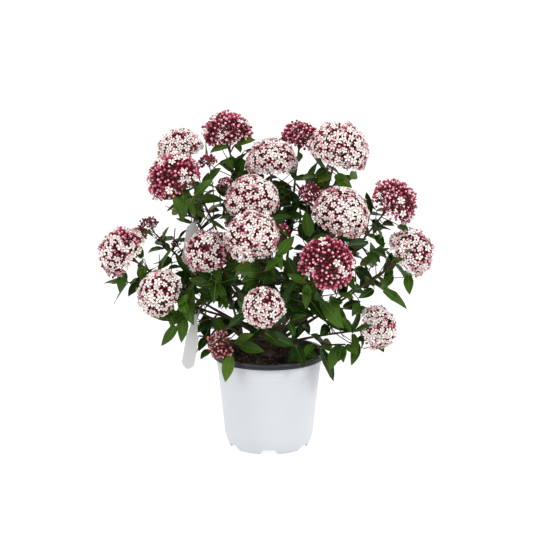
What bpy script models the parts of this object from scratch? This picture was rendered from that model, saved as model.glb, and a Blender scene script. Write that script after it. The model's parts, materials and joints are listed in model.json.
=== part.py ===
"""A potted evergreen viburnum in flower, built the way it grows.

A short main stem stands on the soil of a round nursery pot. Boughs leave it all round, and each carries
shoots that branch by one seeded rule, bear opposite pairs of leaves and end in a domed flower head. The origin
is the middle of the pot's flat underside, +Z is up, and the side seen first faces -Y. Lengths are metres.
"""

import math
import random

import bmesh
import bpy
import numpy as np
from mathutils import Matrix, Vector

MM = 0.001
UP = Vector((0.0, 0.0, 1.0))
GAP = 0.3 * MM  # between two solids that meet
MERGE = 0.01 * MM
SOUND_MERGE = 0.002 * MM

# Pot: an injection-moulded nursery pot, 17 cm across
POT_HEIGHT = 145 * MM
RIM_RADIUS = 85 * MM
WALL = 1.8 * MM
FOOT_RADIUS = 59.6 * MM
SHOULDER_RADIUS = 66.4 * MM
SHOULDER_HEIGHT = 20 * MM
SKIRT_HEIGHT = 8.2 * MM  # of the turned-down rim
UNDER_RIM_RADIUS = 78.9 * MM
FLOOR_UNDERSIDE = 6.7 * MM
PAD_RADIUS = 24 * MM  # the dished middle of the floor, which also stands on the ground
PAD_FLARE = 5 * MM
NOTCHES = 6
NOTCH_HEIGHT = 7.3 * MM
NOTCH_FOOT_WIDTH = 28 * MM
NOTCH_TOP_WIDTH = 16 * MM
DRAIN_RADIUS = 4.5 * MM
DRAIN_REACH = 46 * MM
POT_STEPS = 24

# Soil and main stem
SOIL_EDGE = 136 * MM
SOIL_MIDDLE = 139 * MM
SOIL_FLAT_RADIUS = 15 * MM
SOIL_LUMP = 1.1 * MM
STEM_FOOT = SOIL_MIDDLE + GAP
STEM_HEIGHT = 62 * MM
# share of the height, and radius in mm
STEM_RADII = ((0.0, 12.0), (0.05, 9.6), (0.16, 8.0), (0.45, 7.2), (0.8, 6.6), (0.95, 5.6), (1.0, 4.0))
STEM_LEAN = Vector((2.0 * MM, -1.5 * MM, 0.0))

# Boughs: the flower head that each leads to, and how far up the main stem it leaves, as a share
BOUGHS = {
    "bough_left_low": ("head_left_low", 0.22),
    "bough_left": ("head_left", 0.42),
    "bough_left_rear": ("head_left_bud", 0.62),
    "bough_left_front": ("head_left_front", 0.66),
    "bough_upper_left": ("head_upper_left", 0.86),
    "bough_top_left": ("head_top_left", 0.88),
    "bough_middle": ("head_middle", 0.9),
    "bough_top_right": ("head_top_right", 0.84),
    "bough_upper_right": ("head_upper_right", 0.72),
    "bough_right_high": ("head_right_high", 0.48),
    "bough_right": ("head_right", 0.3),
    "bough_right_low": ("head_right_low", 0.17),
    "bough_front": ("head_front", 0.5),
    "bough_front_low": ("head_front_low", 0.24),
    "bough_rear_left": ("head_rear_left", 0.5),
    "bough_rear": ("head_rear_top", 0.68),
    "bough_rear_right": ("head_rear_right", 0.4),
}

# Flower heads: middle of the dome in mm across, back and up, the dome's radius in mm, and the bough each grows
# on with the share of the bough where its shoot leaves. None means that it carries on from the bough's end.
HEADS = {
    "head_top_left_rear": ((-133, 52, 440), 35, "bough_upper_left", 0.9),
    "head_upper_left": ((-137, -27, 410), 41, "bough_upper_left", None),
    "head_top_left": ((-63, 72, 458), 38, "bough_top_left", None),
    "head_top_middle": ((4, 26, 426), 38, "bough_middle", 0.9),
    "head_top_right": ((47, 80, 451), 31, "bough_top_right", None),
    "head_upper_right": ((102, -1, 448), 45, "bough_upper_right", None),
    "head_right_high": ((180, -20, 373), 37, "bough_right_high", None),
    "head_right_middle": ((103, -62, 364), 43, "bough_upper_right", 0.78),
    "head_middle": ((-25, -42, 381), 40, "bough_middle", None),
    "head_middle_front": ((-24, -116, 342), 40, "bough_left_front", 0.87),
    "head_left_front": ((-89, -72, 311), 35, "bough_left_front", None),
    "head_left": ((-214, -14, 297), 40, "bough_left", None),
    "head_left_low": ((-156, -80, 252), 36, "bough_left_low", None),
    "head_front": ((82, -120, 304), 40, "bough_front", None),
    "head_right": ((206, -45, 304), 37, "bough_right", None),
    "head_right_low": ((156, -60, 195), 33, "bough_right_low", None),
    "head_front_low": ((-8, -148, 248), 31, "bough_front_low", None),
    "head_over_rim": ((-70, -85, 177), 22, "bough_front_low", 0.62),
    "head_left_bud": ((-178, 30, 326), 18, "bough_left_rear", None),
    "head_rear_right_middle": ((102, 130, 293), 34, "bough_rear_right", 0.8),
    "head_rear_middle": ((-36, 128, 322), 34, "bough_rear", 0.8),
    "head_rear_left_low": ((-94, 112, 262), 33, "bough_rear_left", 0.87),
    "head_rear_left": ((-163, 72, 215), 32, "bough_rear_left", None),
    "head_rear_left_high": ((-142, 124, 379), 36, "bough_left_rear", 0.92),
    "head_rear_top": ((3, 142, 406), 32, "bough_rear", None),
    "head_rear_right": ((213, 72, 278), 32, "bough_rear_right", None),
    "head_rear_right_high": ((105, 114, 424), 36, "bough_top_right", 0.87),
    "head_rear_low": ((-11, 142, 190), 30, "bough_rear_left", 0.52),
}

# Small side heads: middle of the dome in mm, its radius in mm, and the flower head whose shoot carries it
SIDE_HEADS = {
    "side_right": ((60, -12, 383), 20, "head_right_middle"),
    "side_middle": ((18, -56, 336), 15, "head_middle"),
    "side_left": ((-139, 42, 298), 9, "head_left_bud"),
    "side_upper_left": ((-90, 16, 428), 14, "head_upper_left"),
    "side_top_left": ((-65, 8, 397), 12, "head_top_left"),
}

# Leafy shoots with no flowers, which fill the inside: tip in mm, the bough, and where on it they leave
LEAFY = {
    "leaves_right_low": ((112, -66, 172), "bough_right_low", 0.6),
    "leaves_left_low": ((-104, -40, 178), "bough_left_low", 0.45),
    "leaves_middle": ((12, 2, 300), "bough_middle", 0.64),
    "leaves_rear": ((48, 84, 226), "bough_rear_right", 0.56),
    "leaves_rear_low": ((-62, 78, 176), "bough_rear_left", 0.3),
}

# Blank plant tags: the flower head whose shoot carries each, where its loop hangs on that shoot as a share, the
# turn of its plate about Z in degrees, and the plate's width and length in mm
TAGS = {
    "tag_upper": ("head_upper_left", 0.7, 28, 19, 62),
    "tag_lower": ("head_left_low", 0.6, -24, 20, 62),
}
TAG_THICKNESS = 0.8 * MM
TAG_LOOP = 4.4 * MM  # middle of the loop's wire
TAG_WIRE = 0.6 * MM

FOCUS = Vector((0.0, 0.0, 0.20))  # the heads face away from here
BOUGH_FOOT_RADIUS = 3.1 * MM
BOUGH_TIP_RADIUS = 2.1 * MM
TWIG_FOOT_RADIUS = 1.9 * MM
TWIG_TIP_RADIUS = 1.35 * MM
SIDE_TWIG_RADIUS = 1.2 * MM
BOUGH_SHARE = 0.38  # of the line from main stem to flower head
LIMB_POINTS = 5
LIMB_SIDES = 6
STEM_SIDES = 12
TWIG_POINTS = 5
TWIG_SIDES = 4
SIDE_TWIG_SIDES = 3
SIDE_POINTS = 3

# Leaves
NODE_SPACING = 28 * MM
FIRST_NODE = 12 * MM
LAST_NODE = 7 * MM  # below the rays of the flower head
LEAF_LENGTH = 55 * MM
LEAF_WIDTH = 0.45  # of its length
LEAF_THICKNESS = 0.018  # of its length
# size, and turn round the twig
LEAF_TRIES = ((1.0, 0.0), (0.92, 0.5), (0.84, -0.5), (0.74, 0.25), (0.64, -0.25))
SIDE_SHOOT_LENGTH = 44 * MM
CELL_MARGIN = 1.7 * MM
LIMB_MARGIN = 0.8 * MM

# Flower heads
DOME_CORE = 0.88  # of the dome's radius
DOME_EDGE = math.radians(108)  # from the dome's axis to its rim
RAYS_DROP = 0.66  # of the radius, from the dome's middle down to where the rays meet
SMALL_HEAD = 16 * MM
FLORET_SHARE = 0.2  # of the dome's facets that stand out of the core
FLORET_TAPER = 0.78

SEED = 11


def clear_scene():
    for obj in list(bpy.data.objects):
        bpy.data.objects.remove(obj)


def collection(name, hidden=False):
    made = bpy.data.collections.new(name)
    bpy.context.scene.collection.children.link(made)
    made.hide_render = hidden
    return made


def material(name, colour, roughness):
    made = bpy.data.materials.new(name)
    made.use_nodes = True
    shader = made.node_tree.nodes["Principled BSDF"]
    shader.inputs["Base Color"].default_value = (*colour, 1.0)
    shader.inputs["Roughness"].default_value = roughness
    shader.inputs["Metallic"].default_value = 0.0
    return made


def object_from(name, mesh, home, finish=None):
    obj = bpy.data.objects.new(name, mesh)
    home.objects.link(obj)
    if finish:
        mesh.materials.clear()
        mesh.materials.append(finish)
    return obj


# Lines of the limbs


def curve_between(start, start_way, end, end_way, count, start_pull=0.33, end_pull=0.33):
    """Points on a cubic curve that leaves start along start_way and reaches end along end_way."""
    reach = (end - start).length
    first = start + start_way.normalized() * reach * start_pull
    last = end - end_way.normalized() * reach * end_pull
    points = []
    for i in range(count):
        t = i / (count - 1)
        points.append(
            start * (1 - t) ** 3 + first * 3 * t * (1 - t) ** 2 + last * 3 * t * t * (1 - t) + end * t**3
        )
    return points


def way_along(points, share):
    """Place and direction on a line of points, at a share of its length."""
    spans = [(b - a).length for a, b in zip(points, points[1:])]
    left = share * sum(spans)
    for a, b, span in zip(points, points[1:], spans):
        if left <= span + 1e-9:
            return a.lerp(b, min(1.0, left / span)), (b - a).normalized()
        left -= span
    return points[-1].copy(), (points[-1] - points[-2]).normalized()


def length_of(points):
    return sum((b - a).length for a, b in zip(points, points[1:]))


def part_of(points, first, last, count):
    return [way_along(points, first + (last - first) * i / (count - 1))[0] for i in range(count)]


def stem_radius(share):
    shares = [s for s, _ in STEM_RADII]
    return float(np.interp(share, shares, [r * MM for _, r in STEM_RADII]))


def stem_middle(share):
    return Vector((0.0, 0.0, STEM_FOOT + STEM_HEIGHT * share)) + STEM_LEAN * share


def facing(middle):
    """The way a flower head looks: out from the middle of the plant, and a little up."""
    away = (middle - FOCUS).normalized()
    return (away + 0.25 * UP).normalized()


def rays_foot(middle, radius, way):
    return middle - way * radius * RAYS_DROP


def place(values):
    return Vector(values) * MM


class Head:
    """A flower head: the middle of its dome, its radius, and the way it faces."""

    def __init__(self, name, middle, radius):
        self.name = name
        self.middle = place(middle)
        self.radius = radius * MM
        self.way = facing(self.middle)
        self.foot = rays_foot(self.middle, self.radius, self.way)


class Shoot:
    """A shoot: its own line, its side shoots, the heads it bears, and the leaves that fit its space."""

    def __init__(self, name, line, heads):
        self.name = name
        self.line = line
        self.heads = heads
        self.sides = []
        self.leaves = []

    def lines(self):
        return [self.line] + self.sides


def bough_lines():
    """The whole line of each bough, from the main stem to the flower head that it leads to."""
    lines = {}
    for name, (leader, share) in BOUGHS.items():
        middle, radius, _, _ = HEADS[leader]
        head = Head(leader, middle, radius)
        root = stem_middle(share)
        flat = Vector((head.middle.x - root.x, head.middle.y - root.y, 0.0)).normalized()
        rise = (head.middle - root).normalized()
        start_way = (flat * 0.75 + UP * 0.5 + rise * 0.5).normalized()
        clear = stem_radius(share) + GAP + BOUGH_FOOT_RADIUS * start_way.z
        lines[name] = curve_between(root + flat * clear, start_way, head.foot, head.way, 41)
    return lines


def grow_shoots(boughs):
    """Every shoot's line, from its bough to its flower head, with the side shoots that bear small heads."""
    shoots = {}
    for name, (middle, radius, bough, share) in HEADS.items():
        head = Head(name, middle, radius)
        whole = boughs[bough]
        if share is None:
            gap_share = GAP / length_of(whole)
            line = part_of(whole, BOUGH_SHARE + gap_share, 1.0, TWIG_POINTS)
        else:
            line = branch_line(whole, share, head.foot, head.way, TWIG_POINTS)
        shoots[name] = Shoot(name, line, [head])
    for name, (tip, bough, share) in LEAFY.items():
        end = place(tip)
        line = branch_line(boughs[bough], share, end, facing(end), TWIG_POINTS)
        shoots[name] = Shoot(name, line, [])
    for name, (middle, radius, bearer) in SIDE_HEADS.items():
        head = Head(name, middle, radius)
        shoot = shoots[bearer]
        start, way = way_along(shoot.line, 0.25)
        outward = (head.foot - start).normalized()
        shoot.sides.append(curve_between(start, way + outward, head.foot, head.way, SIDE_POINTS + 1))
        shoot.heads.append(head)
    return shoots


def branch_line(whole, share, end, end_way, count):
    """A line that leaves the side of a bough, clear of its bark, and runs to end."""
    root, along = way_along(whole, share * BOUGH_SHARE)
    toward = (end - root).normalized()
    side = (toward - along * toward.dot(along)).normalized()
    radius = BOUGH_FOOT_RADIUS + (BOUGH_TIP_RADIUS - BOUGH_FOOT_RADIUS) * share
    start_way = (side * 0.8 + along * 0.6).normalized()
    clear = radius + GAP + TWIG_FOOT_RADIUS * start_way.dot(along)
    return curve_between(root + side * clear, start_way, end, end_way, count)


class Tag:
    """A blank plastic tag: a plate that hangs from a loop round a shoot."""

    def __init__(self, name, shoot, share, turn, width, length):
        self.name = name
        self.hang, self.way = way_along(shoot.line, share)
        radius = TWIG_FOOT_RADIUS + (TWIG_TIP_RADIUS - TWIG_FOOT_RADIUS) * share
        down = (self.way * self.way.z - UP).normalized()
        self.loop = self.hang + down * (TAG_LOOP - TAG_WIRE - radius - GAP)
        self.half = Vector((width * MM / 2, TAG_THICKNESS / 2, length * MM / 2))
        self.frame = Matrix.Rotation(math.radians(turn), 3, "Z")
        self.middle = self.loop + down * TAG_LOOP - UP * (self.half.z - MM)

    def near(self, points):
        """True if a point is close to the plate or the loop."""
        local = np.abs((points - np.array(self.middle)) @ np.array(self.frame))
        margin = np.array([3 * MM, 7 * MM, 3 * MM])
        beside = (local < np.array(self.half) + margin).all(axis=1)
        return beside.any() or (np.linalg.norm(points - np.array(self.hang), axis=1) < 9 * MM).any()


# Leaves that keep to their shoot's space


def samples(line, step=4 * MM):
    count = max(2, int(length_of(line) / step) + 1)
    return np.array([way_along(line, i / (count - 1))[0] for i in range(count)])


class Space:
    """Tells whose space a point is in: the shoot whose line or flower head is nearest."""

    def __init__(self, shoots, boughs, tags):
        self.names = list(shoots)
        self.tags = tags
        self.lines = {n: np.concatenate([samples(line) for line in s.lines()]) for n, s in shoots.items()}
        self.heads = {
            n: (np.array([h.middle for h in s.heads]).reshape(-1, 3), np.array([h.radius for h in s.heads]))
            for n, s in shoots.items()
        }
        limbs, radii = [], []
        for line in boughs.values():
            points = samples(part_of(line, 0.0, BOUGH_SHARE, 12))
            limbs.append(points)
            radii.append(np.linspace(BOUGH_FOOT_RADIUS, BOUGH_TIP_RADIUS, len(points)))
        stem = np.array([stem_middle(i / 20) for i in range(21)])
        limbs.append(stem)
        radii.append(np.array([stem_radius(i / 20) for i in range(21)]))
        self.limbs = np.concatenate(limbs)
        self.limb_radii = np.concatenate(radii)

    def distance(self, name, points):
        """How far each point is from the shoot's own lines and heads."""
        lines = self.lines[name]
        best = np.linalg.norm(points[:, None, :] - lines[None], axis=2).min(1)
        middles, radii = self.heads[name]
        if len(middles):
            domes = np.linalg.norm(points[:, None, :] - middles[None], axis=2) - radii[None]
            best = np.minimum(best, domes.min(1))
        return best

    def limb_clearance(self, points):
        return (np.linalg.norm(points[:, None, :] - self.limbs[None], axis=2) - self.limb_radii[None]).min()

    def holds(self, name, points):
        """True if all the points are in the shoot's own space and clear of limbs, heads, tags, pot and soil."""
        if self.limb_clearance(points) < LIMB_MARGIN or any(tag.near(points) for tag in self.tags):
            return False
        own = self.distance(name, points)
        for other in self.names:
            if other != name and (self.distance(other, points) < own + CELL_MARGIN).any():
                return False
        for middles, radii in self.heads.values():
            for middle, radius in zip(middles, radii):
                if (np.linalg.norm(points - middle, axis=1) < radius * 0.8).any():
                    return False
        flat = np.hypot(points[:, 0], points[:, 1])
        in_pot = (flat < RIM_RADIUS + 2 * MM) & (points[:, 2] < POT_HEIGHT + 3 * MM)
        return not in_pot.any() and points[:, 2].min() > POT_HEIGHT * 0.55


def leaf_shape(s, side, length, droop):
    """A point of a leaf in its own frame: s runs from root to tip, side from -1 to 1 across it."""
    width = LEAF_WIDTH * length * math.sin(math.pi * s**0.8) ** 0.9 / 2
    fold = 0.22 * width * abs(side)
    return Vector((length * s * (1 - 0.12 * droop * s), side * width, fold - droop * length * 0.34 * s * s))


def leaf_frame(way, upper):
    """Columns: along the leaf, across it, and out of its upper face."""
    along = way.normalized()
    out = (upper - along * upper.dot(along)).normalized()
    across = out.cross(along)
    return Matrix((along, across, out)).transposed()


class Leaf:
    def __init__(self, root, way, upper, length, droop):
        self.root = root
        self.frame = leaf_frame(way, upper)
        self.length = length
        self.droop = droop

    def point(self, s, side):
        return self.root + self.frame @ leaf_shape(s, side, self.length, self.droop)

    def outline(self):
        """Points all over the blade, past the root that is sunk in the twig."""
        return np.array([self.point(s, side) for s in (0.2, 0.4, 0.6, 0.8, 1.0) for side in (-1, 0, 1)])


def node_frame(line, share):
    """A node's place, the way of its twig, and two directions square to it, the first level."""
    root, along = way_along(line, share)
    level = along.cross(UP)
    if level.length < 0.2:
        level = Vector((1.0, 0.0, 0.0))
    level = (level - along * level.dot(along)).normalized()
    return root, along, level, along.cross(level)


def pair_at(line, share, turn, length, spread, droop, rng, fits):
    """The leaves of an opposite pair at a node that fit, each tried again smaller and turned a little."""
    root, along, level, other = node_frame(line, share)
    turn += rng.uniform(-0.3, 0.3)
    kept = []
    for half in (0.0, math.pi):
        sag = rng.uniform(0.0, 0.35)
        size = length * rng.uniform(0.85, 1.1)
        bend = droop * rng.uniform(0.6, 1.2)
        for shrink, swing in LEAF_TRIES:
            angle = turn + half + swing
            side = level * math.cos(angle) + other * math.sin(angle)
            leaf = Leaf(root, side + along * spread - UP * sag, UP * 0.8 + along * 0.6, size * shrink, bend)
            if fits(leaf.outline()):
                kept.append(leaf)
                break
    return kept


def grow_leaves(shoots, space):
    """Opposite pairs along every shoot, and a short leafy side shoot from a node where it fits."""
    for number, (name, shoot) in enumerate(shoots.items()):
        rng = random.Random(SEED + number)

        def fits(points, name=name):
            return space.holds(name, points)

        line = shoot.line
        bearing = len(shoot.sides)
        total = length_of(line)
        leafy = total - FIRST_NODE - LAST_NODE
        nodes = max(2, int(leafy / NODE_SPACING) + 1)
        for i in range(nodes):
            share = 1.0 - (LAST_NODE + i * leafy / (nodes - 1)) / total
            top = i == 0
            length = LEAF_LENGTH * (0.85 if top else 1.0)
            spread = 0.15 if top and shoot.heads else 0.5
            shoot.leaves += pair_at(line, share, i * math.pi / 2, length, spread, 0.5, rng, fits)
            if i > 0:
                grow_side_shoot(shoot, share, i, rng, fits)
        for side in shoot.sides[:bearing]:
            shoot.leaves += pair_at(side, 0.8, 0.4, LEAF_LENGTH * 0.7, 0.2, 0.6, rng, fits)
        if not shoot.heads:
            shoot.leaves += pair_at(line, 0.99, 0.8, LEAF_LENGTH * 0.9, 1.4, 0.3, rng, fits)


def grow_side_shoot(shoot, share, number, rng, fits):
    """A short twig from a leaf's axil, with a pair half way and a pair at its tip."""
    root, along, level, other = node_frame(shoot.line, share)
    first_turn = number * math.pi / 2 + rng.uniform(-0.4, 0.4)
    for attempt in range(4):
        turn = first_turn + attempt * math.pi / 2
        side = level * math.cos(turn) + other * math.sin(turn)
        way = (side * 0.85 + along * 0.6 + UP * 0.25).normalized()
        end = root + way * SIDE_SHOOT_LENGTH * (1.1 - 0.15 * attempt)
        line = curve_between(root, way, end, way + UP * 0.4, SIDE_POINTS)
        if not fits(samples(line)[3:]):
            continue
        leaves = []
        for node, spread in ((0.5, 0.5), (0.97, 1.1)):
            leaves += pair_at(line, node, number + node * 3, LEAF_LENGTH * 0.85, spread, 0.4, rng, fits)
        if len(leaves) >= 2:
            shoot.sides.append(line)
            shoot.leaves += leaves
            return


# Solids


def tube(name, line, radii, home, sides=TWIG_SIDES):
    """A tapering limb as a poly curve swept with a many-sided profile and closed at both ends."""
    curve = bpy.data.curves.new(name, "CURVE")
    curve.dimensions = "3D"
    curve.bevel_mode = "OBJECT"
    curve.bevel_object = profile_of(sides)
    curve.use_fill_caps = True
    spline = curve.splines.new("POLY")
    spline.points.add(len(line) - 1)
    for point, here, radius in zip(spline.points, line, radii):
        point.co = (*here, 1.0)
        point.radius = radius
    obj = bpy.data.objects.new(name, curve)
    home.objects.link(obj)
    return obj


def profile_of(sides):
    """A closed flat ring of unit radius that limbs are swept with."""
    name = "profile %d" % sides
    if name in bpy.data.objects:
        return bpy.data.objects[name]
    curve = bpy.data.curves.new(name, "CURVE")
    curve.dimensions = "2D"
    spline = curve.splines.new("POLY")
    spline.points.add(sides - 1)
    for i, point in enumerate(spline.points):
        angle = 2 * math.pi * i / sides
        point.co = (math.cos(angle), math.sin(angle), 0.0, 1.0)
    spline.use_cyclic_u = True
    return bpy.data.objects.new(name, curve)


def meshed(obj, home):
    """A curve's mesh with its caps welded, in place of the curve."""
    bpy.context.view_layer.update()
    graph = bpy.context.evaluated_depsgraph_get()
    mesh = bpy.data.meshes.new_from_object(obj.evaluated_get(graph))
    work = bmesh.new()
    work.from_mesh(mesh)
    bmesh.ops.remove_doubles(work, verts=work.verts, dist=MERGE)
    bmesh.ops.recalc_face_normals(work, faces=work.faces)
    work.to_mesh(mesh)
    work.free()
    made = object_from(obj.name + ".mesh", mesh, home)
    made.matrix_world = obj.matrix_world
    bpy.data.objects.remove(obj)
    return made


def leaf_solid(leaf, home):
    """A pointed blade folded along its midrib, with a keel under it, from a four-sided cone."""
    work = bmesh.new()
    bmesh.ops.create_cone(work, cap_ends=True, segments=4, radius1=1.0, radius2=0.0, depth=1.0)
    bmesh.ops.remove_doubles(work, verts=work.verts, dist=MERGE)
    keel = max(work.verts, key=lambda vert: vert.co.z)
    root = min((v for v in work.verts if v != keel), key=lambda vert: vert.co.x)
    tip = max((v for v in work.verts if v != keel), key=lambda vert: vert.co.x)
    bmesh.ops.connect_verts(work, verts=[root, tip])
    for vert in work.verts:
        s = (vert.co.x + 1) / 2 if vert != keel else 0.5
        side = 0.0 if vert in (keel, root, tip) else math.copysign(1.0, -vert.co.y)
        flat = leaf_shape(s, side, leaf.length, leaf.droop)
        if vert == keel:
            flat.z = leaf_shape(1.0, 0.0, leaf.length, leaf.droop).z / 2 - LEAF_THICKNESS * leaf.length
        vert.co = leaf.root + leaf.frame @ flat
    mesh = bpy.data.meshes.new("leaf")
    work.to_mesh(mesh)
    work.free()
    return object_from("leaf", mesh, home)


def turn_to(way, middle):
    """A matrix that carries +Z to way and the origin to middle."""
    return Matrix.Translation(middle) @ way.to_track_quat("Z", "Y").to_matrix().to_4x4()


def dome_point(unit, radius):
    """A point of the head's core: a dome whose underside draws in to where the rays meet."""
    share = math.acos(max(-1.0, min(1.0, unit.z))) / math.pi
    angle = math.atan2(unit.y, unit.x)
    core = radius * DOME_CORE
    if share < 0.55:
        polar = DOME_EDGE * share / 0.5
        out, up = core * math.sin(polar), core * math.cos(polar)
    else:
        left = (1.0 - share) / 0.5
        low = -radius * RAYS_DROP - 2 * MM
        out = core * math.sin(DOME_EDGE) * left * 0.62
        up = low + (core * math.cos(DOME_EDGE) - low) * left
    return Vector((out * math.cos(angle), out * math.sin(angle), up))


def dome_solid(head, home):
    """A flower head: the core, and groups of florets that stand out of it as raised facets."""
    small = head.radius < SMALL_HEAD
    rng = random.Random(head.name)
    work = bmesh.new()
    bmesh.ops.create_icosphere(work, subdivisions=1 if small else 2, radius=1.0)
    upper = [face for face in work.faces if face.calc_center_median().z > -0.1]
    blooms = [face for face in upper if small or rng.random() < FLORET_SHARE]
    for vert in work.verts:
        vert.co = dome_point(vert.co.normalized(), head.radius)
    for face in bmesh.ops.extrude_discrete_faces(work, faces=blooms)["faces"]:
        middle = face.calc_center_median()
        for vert in face.verts:
            inward = middle + (vert.co - middle) * FLORET_TAPER
            vert.co = inward.normalized() * head.radius
    bmesh.ops.transform(work, matrix=turn_to(head.way, head.middle), verts=work.verts)
    bmesh.ops.recalc_face_normals(work, faces=work.faces)
    mesh = bpy.data.meshes.new("dome")
    work.to_mesh(mesh)
    work.free()
    return object_from("dome", mesh, home)


def largest_shell(work):
    """Keeps the biggest joined body: drops loose scraps and fills hollows that fusing sealed."""
    left, shells = set(work.faces), []
    while left:
        stack = [left.pop()]
        shell = set(stack)
        while stack:
            for edge in stack.pop().edges:
                for face in edge.link_faces:
                    if face in left:
                        left.remove(face)
                        shell.add(face)
                        stack.append(face)
        shells.append(shell)
    shells.sort(key=lambda faces: sum(face.calc_area() for face in faces))
    for shell in shells[:-1]:
        bmesh.ops.delete(work, geom=list(shell), context="FACES")


def sound(work):
    """True if every edge joins two faces and the surface pinches at no corner."""
    return all(edge.is_manifold for edge in work.edges) and all(vert.is_manifold for vert in work.verts)


def fuse(name, first, pieces, home, finish):
    """One Boolean union joins a collection to the first piece. None if the join isn't sound."""
    modifier = first.modifiers.new("join", "BOOLEAN")
    modifier.operation = "UNION"
    modifier.operand_type = "COLLECTION"
    modifier.collection = pieces
    modifier.solver = "MANIFOLD"
    bpy.context.view_layer.update()
    graph = bpy.context.evaluated_depsgraph_get()
    mesh = bpy.data.meshes.new_from_object(first.evaluated_get(graph))
    bpy.data.objects.remove(first)
    for obj in list(pieces.objects):
        bpy.data.objects.remove(obj)
    bpy.data.collections.remove(pieces)
    work = bmesh.new()
    work.from_mesh(mesh)
    bmesh.ops.remove_doubles(work, verts=work.verts, dist=SOUND_MERGE)
    bmesh.ops.triangulate(work, faces=work.faces)
    largest_shell(work)
    whole = sound(work)
    work.to_mesh(mesh)
    work.free()
    return object_from(name, mesh, home, finish) if whole else None


def radii_between(first, last, count):
    return [first + (last - first) * i / (count - 1) for i in range(count)]


def shoot_pieces(shoot, home, leaves):
    """A shoot's twig, and a collection of everything that is fused to it."""
    pieces = collection("pieces of " + shoot.name)
    radii = radii_between(TWIG_FOOT_RADIUS, TWIG_TIP_RADIUS, len(shoot.line))
    first = meshed(tube(shoot.name + ".twig", shoot.line, radii, home, TWIG_SIDES), home)
    for line in shoot.sides:
        radii = radii_between(SIDE_TWIG_RADIUS, SIDE_TWIG_RADIUS * 0.8, len(line))
        meshed(tube("side", line, radii, pieces, SIDE_TWIG_SIDES), pieces)
    for leaf in leaves:
        leaf_solid(leaf, pieces)
    for head in shoot.heads:
        dome_solid(head, pieces)
    return first, pieces


def shoot_solid(shoot, home, finish):
    """A shoot with its twigs, leaves and flower heads in one solid, less any leaf that won't fuse."""
    leaves = list(shoot.leaves)
    while leaves:
        for skipped in range(-1, len(leaves)):
            kept = [leaf for i, leaf in enumerate(leaves) if i != skipped]
            first, pieces = shoot_pieces(shoot, home, kept)
            made = fuse(shoot.name, first, pieces, home, finish)
            if made:
                shoot.leaves = kept
                return made
        leaves.pop(len(leaves) // 2)
    raise RuntimeError("%s doesn't fuse into one solid" % shoot.name)


def tag_solid(tag, home, finish):
    """The plate, and the loop that its top is fused to."""
    pieces = collection("pieces of " + tag.name)
    plate = bpy.data.meshes.new("plate")
    work = bmesh.new()
    bmesh.ops.create_cube(work, size=2.0)
    shape = Matrix.Translation(tag.middle) @ tag.frame.to_4x4() @ Matrix.Diagonal((*tag.half, 1.0))
    bmesh.ops.transform(work, matrix=shape, verts=work.verts)
    work.to_mesh(plate)
    work.free()
    level = tag.way.cross(UP).normalized()
    upper = level.cross(tag.way)
    ring = []
    for i in range(12):
        angle = i * math.pi / 6
        ring.append(tag.loop + (level * math.cos(angle) + upper * math.sin(angle)) * TAG_LOOP)
    wire = tube("wire", ring, [TAG_WIRE] * len(ring), pieces)
    wire.data.splines[0].use_cyclic_u = True
    wire.data.use_fill_caps = False
    meshed(wire, pieces)
    return fuse(tag.name, object_from("plate", plate, home), pieces, home, finish)


def turned(name, profile, home, finish, steps):
    """A solid turned about Z from a profile of (radius, height) points that runs down its outer side."""
    mesh = bpy.data.meshes.new(name)
    edges = [(i, i + 1) for i in range(len(profile) - 1)]
    mesh.from_pydata([(r, 0.0, z) for r, z in profile], edges, [])
    obj = object_from(name, mesh, home, finish)
    screw = obj.modifiers.new("turn", "SCREW")
    screw.steps = screw.render_steps = steps
    screw.use_merge_vertices = True
    screw.merge_threshold = 0.05 * MM
    screw.use_smooth_shade = True
    return obj


def wall_radius(height):
    """Outside radius of the pot's straight wall."""
    share = (height - SHOULDER_HEIGHT) / (POT_HEIGHT - SKIRT_HEIGHT - SHOULDER_HEIGHT)
    return SHOULDER_RADIUS + (UNDER_RIM_RADIUS - SHOULDER_RADIUS) * share


def pot_profile():
    floor = FLOOR_UNDERSIDE + WALL
    under_rim = POT_HEIGHT - SKIRT_HEIGHT
    lip = RIM_RADIUS
    inner_top = lip - 5.6 * MM
    inside = [
        (0.0, WALL),
        (PAD_RADIUS, WALL),
        (PAD_RADIUS + PAD_FLARE, floor),
        (FOOT_RADIUS - WALL + 2.4 * MM, floor),
        (SHOULDER_RADIUS - WALL, SHOULDER_HEIGHT),
        (wall_radius(under_rim) - WALL, under_rim),
        (inner_top, POT_HEIGHT - 3 * MM),
        (inner_top + 0.8 * MM, POT_HEIGHT),
    ]
    rim = [
        (lip - 0.9 * MM, POT_HEIGHT),
        (lip, POT_HEIGHT - 1.2 * MM),
        (lip, POT_HEIGHT - 3.6 * MM),
        (lip - 0.4 * MM, under_rim),
        (UNDER_RIM_RADIUS, under_rim),
    ]
    outside = [
        (wall_radius(120 * MM), 120 * MM),
        (SHOULDER_RADIUS, SHOULDER_HEIGHT),
        (SHOULDER_RADIUS - 1.6 * MM, 12 * MM),
        (FOOT_RADIUS + 3 * MM, FLOOR_UNDERSIDE),
        (FOOT_RADIUS, 0.0),
    ]
    underneath = [
        (FOOT_RADIUS - 2.4 * MM, 0.0),
        (FOOT_RADIUS - 1.4 * MM, FLOOR_UNDERSIDE),
        (PAD_RADIUS + PAD_FLARE + WALL * 0.4, FLOOR_UNDERSIDE),
        (PAD_RADIUS + WALL * 0.4, 0.0),
        (0.0, 0.0),
    ]
    return inside + rim + outside + underneath


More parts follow.
